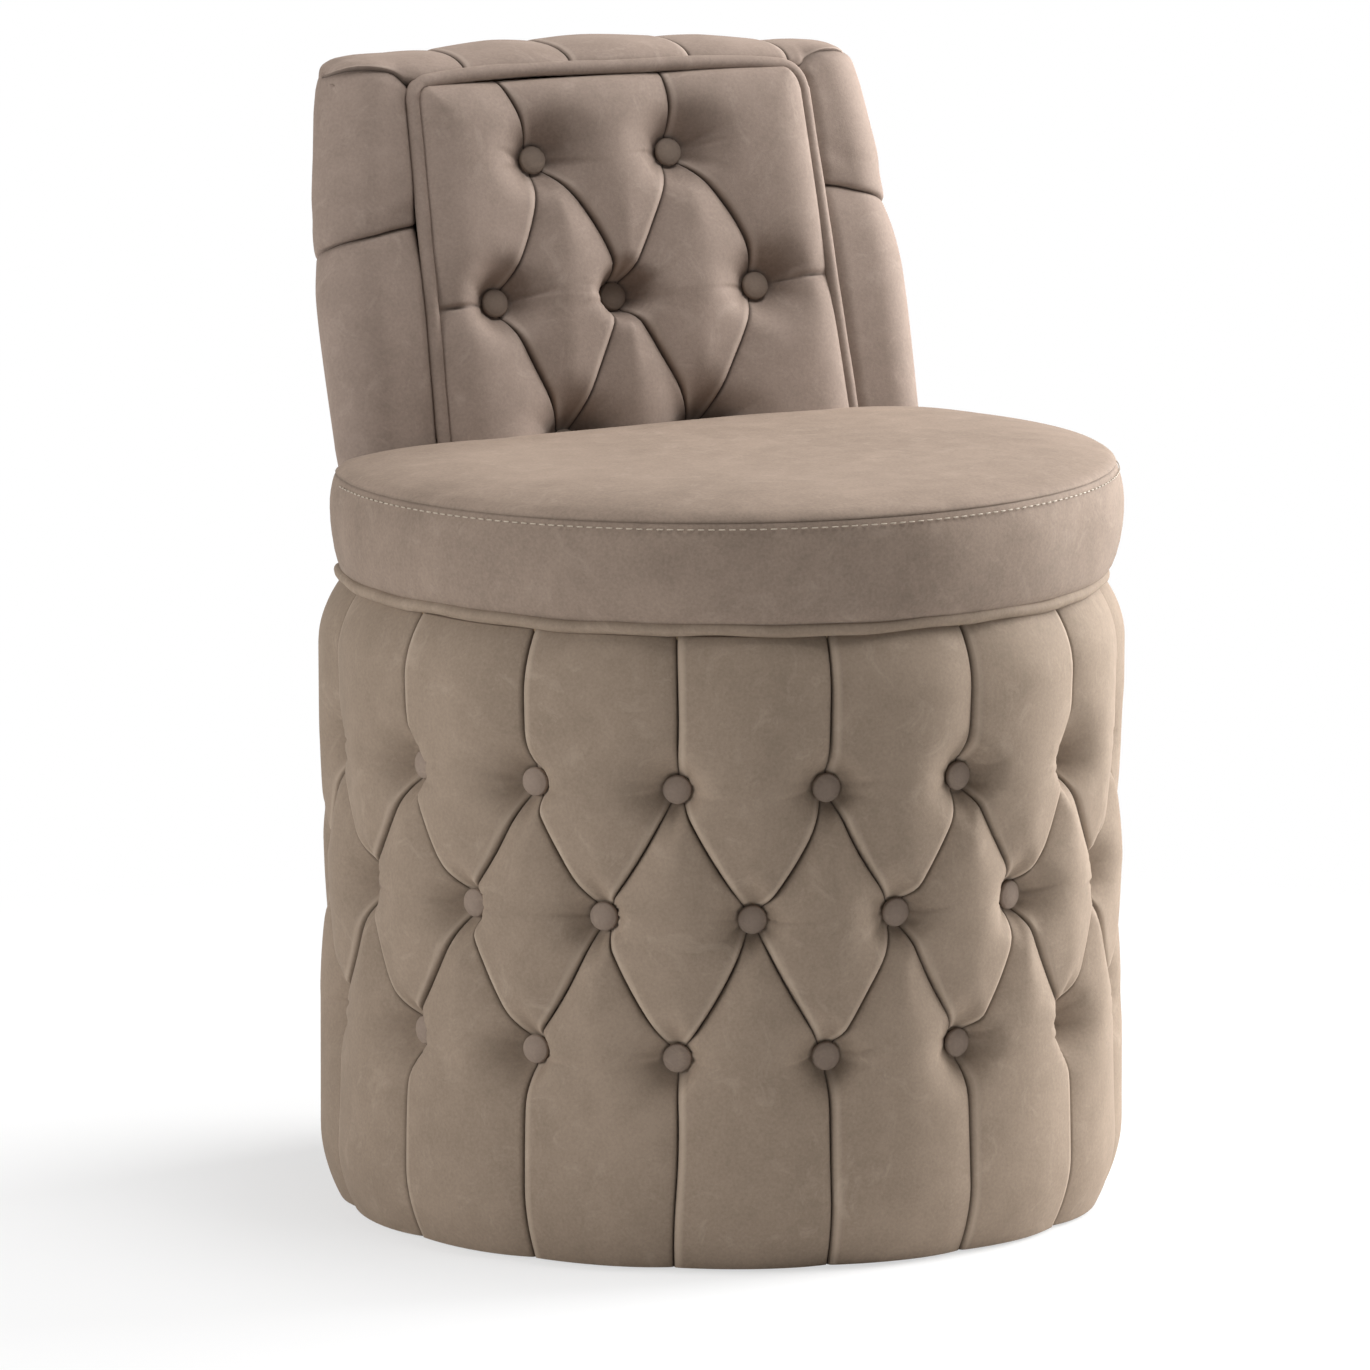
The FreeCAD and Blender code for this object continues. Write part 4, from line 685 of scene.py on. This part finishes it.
def on_panel(x, u, n):
    """Points given across, up along the lean and out of the panel's plane."""
    x, u, n = [a[..., None] for a in np.broadcast_arrays(x, u, n)]
    return PANEL_BASE + x * np.array([1.0, 0, 0]) + u * PANEL_UP + n * PANEL_OUT


def panel_half(u, corner):
    """Half width of the panel at the welt's line: a slow taper that turns in at a round top corner."""
    side = PANEL_HALF_LOW - (PANEL_HALF_LOW - PANEL_HALF_HIGH) * np.maximum(u, 0) / PANEL_TOP
    from_turn = u - PANEL_TOP + corner
    turned = PANEL_HALF_HIGH - corner + np.sqrt(np.maximum(corner ** 2 - from_turn ** 2, 0))
    return np.where(u > PANEL_TOP - corner, np.minimum(side, turned), side)


def open_folds(stops, count):
    """Positions across a row of folds that ends with the last stop, and their distances to the crease
    before and behind; there is no crease at either outer end."""
    at, to_start, to_end = across_folds(stops, count)
    to_start[:, 0], to_end[:, -1] = FAR, FAR
    at, to_start, to_end = [a.reshape(len(stops), -1) for a in (at, to_start, to_end)]
    far = np.full((len(stops), 1), FAR)
    return np.hstack([at, stops[:, -1:]]), np.hstack([to_start, far]), np.hstack([to_end, far])


def cross_fold(gap):
    """Level fold across a band, its upper lip over the lower: the depth as a share, and a faint mark of
    painted crease shade, with a paler upper lip partly scuffed and partly painted highlight.
    """
    away = np.abs(gap)
    return fold_depth(away, eased(gap, 0.0006)), 0.6 * crease_shade_mark(away, gap > 0)


def panel_leather():
    """Plane lifted to a full crest, less the fold depth beside each crease, the cups at the buttons and a
    round fall to the welt along the edges. The middle pillow tucks in towards the seat. Mesh columns follow
    the four folds, the levels the rows."""
    low, middle, high = PANEL_ROWS
    top, crest = PANEL_TOP + 0.001, 0.0150
    stations = [-0.048, *PANEL_ROWS, top]
    u = crowded(stations, 30)
    low_bow, high_bow = 0.006 * hump(u, low, middle), 0.006 * hump(u, middle, high)
    # Each fold: its side, its middle button and how far it bows out below and above that button.
    courses = [(0, 0, -0.4, 1.0), (0, 1, 0.0, 1.4), (1, 1, 0.0, 0.3), (1, 2, 0.0, 1.4)]
    lines = []
    for side, button, below, above in courses:
        through = (FOOT_FOLDS[side], LOW_PAIR[side], MID_THREE[button], HIGH_PAIR[side], TOP_FOLDS[side])
        lines.append(np.interp(u, stations, through) + below * low_bow + above * high_bow)
    corners = (LEFT_CORNER, RIGHT_CORNER)
    left_edge, right_edge = [panel_half(np.minimum(u, PANEL_TOP), corner) - 0.001 for corner in corners]
    lines = [np.clip(line, -left_edge, right_edge) for line in lines]
    x, to_start, to_end = open_folds(np.stack([-left_edge, *lines, right_edge], axis=-1), 26)
    pillow = np.append(np.repeat(np.arange(5), 26), 4)[None, :]
    level = u[:, None]
    slant = fold_slant(level, PANEL_ROWS, 0.80)
    diamond = (pillow == 1) | (pillow == 3)
    # fold: painted crease shade, with paler lips partly painted highlight.
    depth, fold = pillows(to_start, to_end, level, PANEL_ROWS, diamond, 0.0, slant)
    full_depth, lost_at_top = 0.0145, 0.0070
    depth = depth * (full_depth - lost_at_top * unit((level - high) / (top - high)))
    outer = unit((np.abs(x) - 0.088) / 0.010)
    side_line = middle + 0.004 * unit((np.abs(x) - 0.09) / 0.05) * np.sign(x)
    side_depth, side_mark = cross_fold(level - side_line)
    depth = joined(depth, side_depth * 0.0100 * outer)
    tucked = 0.010 * unit(1 - (level + 0.010) / 0.060) ** 2
    off_crease = 1 - bell(np.minimum(to_start, to_end), 0.006)
    depth = depth + (pillow == 2) * tucked * off_crease
    ripple = np.zeros_like(x)
    for seed, (across, row, sunk, reach) in enumerate(PANEL_TUFTS):
        distance = np.hypot(x - across, level - row)
        depth = tufted(depth, PANEL_TUFT_DEPTH + crest + sunk, distance, reach)
        ripple = ripple + puckers(distance, np.arctan2(level - row, x - across), seed)
    to_side = np.where(x < 0, left_edge[:, None] + x, right_edge[:, None] - x)
    to_edge = np.minimum(to_side, top - level)
    fall = crest * lip(to_edge, 0.030) + 0.0035 * lip(to_edge, 0.006)
    out = np.maximum(crest - depth, -PANEL_TUFT_DEPTH - 0.006) + ripple
    out = out - fall * np.clip(1 - depth / 0.03, 0.3, 1)
    # The side fold's faint mark is painted crease shade too.
    fold = np.where(outer > 0.5, np.maximum(fold, side_mark), fold)
    return sheet_mesh("front_panel_leather", on_panel(x, level, out), fold=fold)


# Its crease colour is painted shade, its pale colour partly painted highlight on the lips.
back_taupe = nubuck("backrest_nubuck", dark=(0.226, 0.172, 0.140), light=(0.298, 0.229, 0.190),
                    crease=(0.045, 0.034, 0.028), worn_and_highlight=(0.430, 0.345, 0.290))
panel = leather_piece(panel_leather(), back_taupe, "front_panel_cover", "front_panel_foam")

panel_button_depth = PANEL_TUFT_DEPTH + BUTTON_SUNK + PANEL_TUFTS[:, 2]
panel_button_centres = on_panel(PANEL_TUFTS[:, 0], PANEL_TUFTS[:, 1], -panel_button_depth)
panel_button_ways = np.tile(PANEL_OUT, (len(PANEL_TUFTS), 1))
leather_piece(button_mesh("front_panel_button_caps", panel_button_centres, panel_button_ways), button_leather,
              "front_panel_buttons")


# Welt round the front panel: the same leather-wrapped cord, sewn between the panel and the outside cover,
# up both sides, round the top corners and along a low arch.
def panel_welt_path():
    """Path of straight sides, quarter-round corners and a low arch, put together from two halves."""
    halves = []
    for corner in (LEFT_CORNER, RIGHT_CORNER):
        corner_start = PANEL_HALF_HIGH - corner
        side_u = np.linspace(-0.060, PANEL_TOP - corner, 70)
        turn = np.linspace(0, math.pi / 2, 16)[1:]
        corner_x = corner_start + corner * np.cos(turn)
        corner_u = PANEL_TOP - corner + corner * np.sin(turn)
        top_x = np.linspace(corner_start, 0, 30)[1:]
        top_u = PANEL_TOP + 0.0045 * (1 - (top_x / corner_start) ** 3)
        half_x = np.concatenate([panel_half(side_u, corner), corner_x, top_x])
        halves.append((half_x, np.concatenate([side_u, corner_u, top_u])))
    (left_x, left_u), (right_x, right_u) = halves
    x = np.concatenate([-left_x, right_x[-2::-1]])
    u = np.concatenate([left_u, right_u[-2::-1]])
    tilt = (0.0014 - 0.0115 * x) * unit((u - 0.15) / 0.07)
    wander = 0.0005 * np.sin(0.15 * np.arange(len(x)))
    return on_panel(x, u + tilt + wander, 0.0010)


leather_piece(tube("front_panel_welt_cord", panel_welt_path(), radius=0.0047, seed=2.1), back_taupe,
              "front_panel_welt")


# Outside of the backrest: leather over foam, sewn to the welt, that wraps round both sides and across the
# rear. A fold crosses each side band, and rows of buttons tuft the rear down to the drum.
BACK_LOW, BACK_HIGH = 0.3875, 0.6960
BACK_ROWS = (0.475, 0.574, 0.650)
CORNER_END = math.radians(66)
REAR_ARC = 0.245  # mean radius of the rear, from angles to distances along it
REAR_ODD, REAR_EVEN = np.array([3, 1, -1, -3]) * HALF_PITCH, np.array([2, 0, -2]) * HALF_PITCH


def corner_at(height, row):
    """Radius, across and depth of the corner between side and rear, drawn in at the topmost rows."""
    closing = lip(BACK_HIGH - row, 0.008)
    across = np.interp(height, [0.388, 0.440, 0.466, 0.560, 0.600, 0.645, 0.672, 0.685, 0.697, 0.712],
                       [0.1770, 0.1715, 0.1735, 0.1728, 0.1705, 0.1632, 0.1598, 0.1572, 0.1530, 0.1500])
    return 0.030 - 0.009 * closing, across - 0.004 * closing, panel_depth(height) + 0.028


def side_swell(height):
    """How far the sides swell out between the seat and the top."""
    return 0.0022 * hump(height, 0.47, 0.69)


def side_curve(level, corner, lift, crown):
    """Band and corner of one side, from the welt to the rear: x, y, z and a mark of painted crease shade,
    with a painted shadow under the top band's lip along the topmost rows. `lift` raises the fold at the welt,
    `crown` gives the top's height above the rear's along the run."""
    run = np.concatenate([np.linspace(0, 0.5, 23)[:-1], np.linspace(0.5, 1, 28)[:-1]])[None, :]
    gap = level - BACK_ROWS[1]
    raised = unit((level - 0.655) / (BACK_HIGH - 0.655)) ** 2
    height = level + lift * (1 - run ** 3) * bell(gap, 0.060)
    height = height + raised * np.interp(run, (0, 0.15, 0.25, 0.4, 0.5, 0.6, 0.7, 0.8, 0.9, 1), crown)
    radius, across, depth = corner_at(height, level)
    u = (height - PANEL_BASE[2]) / math.cos(LEAN)
    wide = across - panel_half(np.minimum(u, PANEL_TOP - 0.004), corner) - 0.0015
    t = unit(2 * run) ** 1.6
    turn = -math.pi / 2 + (math.pi / 2 + CORNER_END) * unit(2 * run - 1)
    on_band = run < 0.5
    fold, mark = cross_fold(gap)
    dip = fold * 0.0105 * unit((1 - run) / 0.25)
    creases = 0.0006 * np.sin(150 * height + 9 * run) * bell(gap - 0.02, 0.016)
    full = radius - dip + creases + side_swell(height)
    x = across - wide * (1 - t) * on_band + full * np.cos(turn)
    y = depth + full * np.sin(turn) + 0.0090 * lip(wide * t, 0.0110) * on_band
    # Painted shadow: a dark line along the topmost rows, under the top band's lip.
    under_lip_shadow = np.exp(-(BACK_HIGH - level) / 0.0022)
    return x, y, height, np.maximum(mark * unit((0.9 - run) / 0.1), under_lip_shadow)


def outside_leather():
    """Level curves from the right welt to the left one: a flat band rolled in at the welt, a round corner, a
    rear arc less its fold depths, and corner and band again. On the bands the levels are lifted so that one
    of them follows the fold across the side."""
    z = crowded([BACK_LOW, *BACK_ROWS, BACK_HIGH], 26)
    level = z[:, None]
    right_crown = (-0.0100, -0.0075, -0.0050, -0.0010, 0.0010, 0.0015, -0.0010, -0.0025, -0.0020, 0)
    left_crown = (-0.0080, -0.0050, -0.0025, 0.0020, 0.0042, 0.0067, 0.0064, 0.0045, 0.0022, 0)
    right_x, right_y, right_z, right_mark = side_curve(level, RIGHT_CORNER, 0.039, right_crown)
    left_x, left_y, left_z, left_mark = side_curve(level, LEFT_CORNER, 0.029, left_crown)
    radius, across, depth = corner_at(level, level)
    radius = radius + side_swell(level)
    rear = np.interp(level, [0.388, 0.450, 0.540, 0.574, 0.712], [0.2415, 0.238, 0.247, 0.249, 0.249])
    rear = rear - 0.024 * lip(BACK_HIGH - level, 0.030)
    end_x, end_y = across + radius * math.cos(CORNER_END), depth + radius * math.sin(CORNER_END)
    spread, edge = np.arctan2(end_x, end_y), np.hypot(end_x, end_y)
    fan = np.minimum(1, 0.95 * spread / REAR_ODD[0])
    share = opening_share(level, BACK_ROWS)
    lines = np.stack([REAR_ODD * fan + HALF_PITCH * share, REAR_ODD * fan - HALF_PITCH * share], axis=-1)
    limit = 0.985 * spread
    lines = np.clip(-lines.reshape(len(z), -1), -limit, limit)
    from_left, to_start, to_end = [a[:, :-1] for a in open_folds(np.hstack([-spread, lines, spread]), 16)]
    angle = -from_left
    diamond = np.repeat(np.arange(9), 16)[None, :] % 2 == 1
    side = 0.5 + 0.5 * np.tanh(angle / 0.03)
    slant = fold_slant(level, BACK_ROWS, 0.86) * REAR_ARC
    # The mark is painted shade in the creases, with paler lips partly painted highlight.
    dip, mark = pillows(to_start, to_end, level, BACK_ROWS, diamond, side, slant)
    running_out = unit((0.97 - np.abs(angle) / spread) / 0.14)
    dip = dip * 0.0120 * np.clip((level - BACK_LOW) / 0.05, 0.35, 1) * running_out
    ripple = np.zeros_like(dip)
    for row, columns in zip(BACK_ROWS, (REAR_ODD, REAR_EVEN, REAR_ODD)):
        widest, corner, plain_rear = [np.interp(row, z, a[:, 0]) for a in (spread, edge, rear)]
        for column in columns:
            away = (angle - column) * REAR_ARC
            distance = np.hypot(away, level - row)
            bottom = TUFT_DEPTH + (corner - plain_rear) * (column / widest) ** 2
            dip = tufted(dip, bottom, distance, 0.050)
            ripple = ripple + puckers(distance, np.arctan2(level - row, away), 7 * column)
    full = rear + (edge - rear) * (angle / spread) ** 2 - dip + ripple
    x = np.hstack([right_x, full * np.sin(angle), -end_x, -left_x[:, ::-1]])
    y = np.hstack([right_y, full * np.cos(angle), end_y, left_y[:, ::-1]])
    height = np.hstack([right_z, level + 0 * angle, level, left_z[:, ::-1]])
    fold = np.hstack([right_mark, mark * running_out, np.zeros_like(level), left_mark[:, ::-1]])
    return sheet_mesh("outside_back_leather", np.stack([x, y, height], axis=-1), fold=fold)


outside = leather_piece(outside_leather(), back_taupe, "outside_back_cover", "outside_back_foam")

rear_angles = np.concatenate([REAR_ODD, REAR_EVEN, REAR_ODD])
row_sizes = (len(REAR_ODD), len(REAR_EVEN), len(REAR_ODD))
rear_ways = round_ways(math.pi - rear_angles)
rear_centres = rear_ways * (np.repeat([0.2395, 0.249, 0.249], row_sizes) - TUFT_DEPTH + 0.001)[:, None]
rear_centres[:, 2] = np.repeat(BACK_ROWS, row_sizes)
leather_piece(button_mesh("outside_back_button_caps", rear_centres, rear_ways), button_leather,
              "outside_back_buttons")


# Top band of the backrest: a padded strip of the same leather laid over the top, with rolled ends over the
# side bands and a few folds that run from the welt to the rear.
def top_band_leather():
    """Cross-sections from the welt over the top to the rear, boxy arcs whose ends and height follow the
    position across; the height falls beside each fold and at both rolled ends."""
    folds = np.array([[-0.184, -0.0985, -0.0245, 0.0605, 0.1300, 0.1785]])
    x, to_start, to_end = [a[0] for a in open_folds(folds, 30)]
    size = np.abs(x)
    end_start, end_radius, end_depth = 0.1527, 0.0313, 0.1905
    corner = np.sqrt(end_radius ** 2 - np.clip(size - end_start, 0, end_radius) ** 2)
    set_back = 0.0045 * unit((size - 0.136) / 0.007) ** 2
    front_y = end_depth - corner * (1 - set_back / end_radius)
    rear_y = np.minimum(0.2475 - 1.20 * x ** 2, np.where(size > end_start, end_depth + corner, np.inf))
    front_z = np.interp(x, [-0.184, -0.181, -0.176, -0.170, -0.162, -0.154, -0.147, -0.1425, -0.139, -0.130,
                            0.0, 0.130, 0.136, 0.1415, 0.147, 0.153, 0.158, 0.165, 0.172, 0.1785],
                        [0.6965, 0.6992, 0.7015, 0.7025, 0.7021, 0.7004, 0.6977, 0.6943, 0.6915, 0.6925,
                         0.6955, 0.6895, 0.6870, 0.6890, 0.6935, 0.6963, 0.6973, 0.6970, 0.6948, 0.6890])
    rear_z = np.interp(size, [0, 0.14, 0.184], [0.684, 0.685, 0.691])
    top_z = np.interp(x, [-0.184, -0.181, -0.172, -0.160, -0.137, -0.092, -0.05, 0.0, 0.06, 0.122, 0.154,
                          0.168, 0.1755, 0.1785],
                      [0.6970, 0.7012, 0.7054, 0.7068, 0.7068, 0.7085, 0.7098, 0.7100, 0.7085, 0.7042, 0.7015,
                       0.6998, 0.6965, 0.6910])
    v = np.linspace(0, 1, 61)[:, None]
    boxiness = 0.75
    flat = np.sign(np.cos(math.pi * v)) * np.abs(np.cos(math.pi * v)) ** boxiness
    bulge = np.abs(np.sin(math.pi * v)) ** boxiness
    base_z = front_z + (rear_z - front_z) * (3 * v ** 2 - 2 * v ** 3)
    middle_y = (front_y + rear_y) / 2
    side = 0.5 + 0.5 * np.tanh(x / 0.02)
    # fold: painted crease shade beside each fold, with paler lips partly painted highlight.
    dip, fold = between_folds(to_start, to_end, 1 - side, side)
    dip = dip * 0.0055 * (0.35 + 0.65 * unit(1.3 - v))
    y = middle_y - (rear_y - front_y) / 2 * flat
    y = y + (middle_y - y) * np.clip(dip / 0.03, 0, 0.5) * 0.55
    z = base_z + (top_z - base_z) * bulge - dip * bulge
    # The first and last rows are tucked in at the welt and at the rear, the end columns at the sides.
    y[0] += 0.005
    z[0] -= 0.004
    y[-1] -= 0.016
    points = np.stack([x + 0 * y, y, z], axis=-1)
    points[:, [0, -1]] += [[0.012, 0, -0.007], [-0.012, 0, -0.007]]
    # At both rolled ends: a painted shadow line along the front row under the lip, and a paler lip just
    # behind it, partly scuffed and partly painted highlight.
    hem = unit((size - 0.138) / 0.006)
    fold = fold + hem * (np.exp(-v / 0.012) - 0.5 * bell(v - 0.06, 0.035))
    return sheet_mesh("top_band_leather", points, fold=fold)


band = leather_piece(top_band_leather(), back_taupe, "outside_back_cover")


# Studio: a plain white floor that fades into a white surround, with soft light from above, from the right
# and, weaker, from the left.
def seen_directly(tree):
    """1 for rays from the camera, a mirror or clear glass, and 0 for the rest."""
    rays = tree.nodes.new("ShaderNodeLightPath").outputs
    either = calculated(tree, "MAXIMUM", rays["Is Camera Ray"], rays["Is Glossy Ray"])
    return calculated(tree, "MAXIMUM", either, rays["Is Transmission Ray"])


floor_mesh = bpy.data.meshes.new("floor")
floor_mesh.from_pydata([(-12, -12, 0), (12, -12, 0), (12, 12, 0), (-12, 12, 0)], [], [(0, 1, 2, 3)])
floor = bpy.data.objects.new("floor", floor_mesh)
bpy.context.scene.collection.objects.link(floor)
pale, tree, shader, where = blank_material("pale_floor")
tree.nodes.remove(shader)
diffuse = new_node(tree, "ShaderNodeBsdfDiffuse", Color=(0.88, 0.88, 0.88, 1))
white = new_node(tree, "ShaderNodeEmission", Strength=1.0)
distance = new_node(tree, "ShaderNodeVectorMath", (0, where), operation="LENGTH")
fade = new_node(tree, "ShaderNodeMapRange", ("Value", distance.outputs["Value"]), From_Min=0.3, From_Max=1.1,
                To_Min=0.6, To_Max=1.0)
whiteness = calculated(tree, "MULTIPLY", fade.outputs["Result"], seen_directly(tree))
blend = new_node(tree, "ShaderNodeMixShader", ("Fac", whiteness), (1, diffuse.outputs["BSDF"]),
                 (2, white.outputs["Emission"]))
tree.links.new(blend.outputs["Shader"], tree.nodes["Material Output"].inputs["Surface"])
floor_mesh.materials.append(pale)

world = bpy.data.worlds.new("studio")
bpy.context.scene.world = world
world.use_nodes = True
tree = world.node_tree
background = tree.nodes["Background"]
strength = new_node(tree, "ShaderNodeMapRange", ("Value", seen_directly(tree)), To_Min=0.19, To_Max=1.0)
tree.links.new(strength.outputs["Result"], background.inputs["Strength"])
background.inputs["Color"].default_value = (1, 1, 1, 1)


def set_up(name, data, place, aim):
    """Puts a lamp or camera at a place, turned to face a point."""
    holder = bpy.data.objects.new(name, data)
    holder.location = place
    x, y, z = np.array(aim, float) - np.array(place, float)
    holder.rotation_euler = (math.atan2(math.hypot(x, y), -z), 0, math.atan2(-x, y))
    bpy.context.scene.collection.objects.link(holder)
    return holder


def soft_light(name, place, aim, size, power):
    """Square area lamp at a place, turned to face a point."""
    lamp = bpy.data.lights.new(name, "AREA")
    lamp.size = size
    lamp.energy = power
    set_up(name, lamp, place, aim)


soft_light("key_above", place=(0.5, -0.5, 3.0), aim=(0, 0, 0.4), size=1.5, power=57)
soft_light("key_right", place=(2.2, 0.0, 1.1), aim=(0, 0, 0.3), size=1.3, power=108)
soft_light("key_left", place=(-2.8, 0.3, 0.9), aim=(0, 0, 0.25), size=1.4, power=45)

camera_data = bpy.data.cameras.new("camera")
camera_data.sensor_width = 36.0
camera_data.lens = 298.1
bpy.context.scene.camera = set_up("camera", camera_data, place=(-3.18881, -6.23149, 1.515),
                                  aim=(-0.02048, 0.01048, 0.322))
bpy.context.scene.view_settings.view_transform = "Standard"
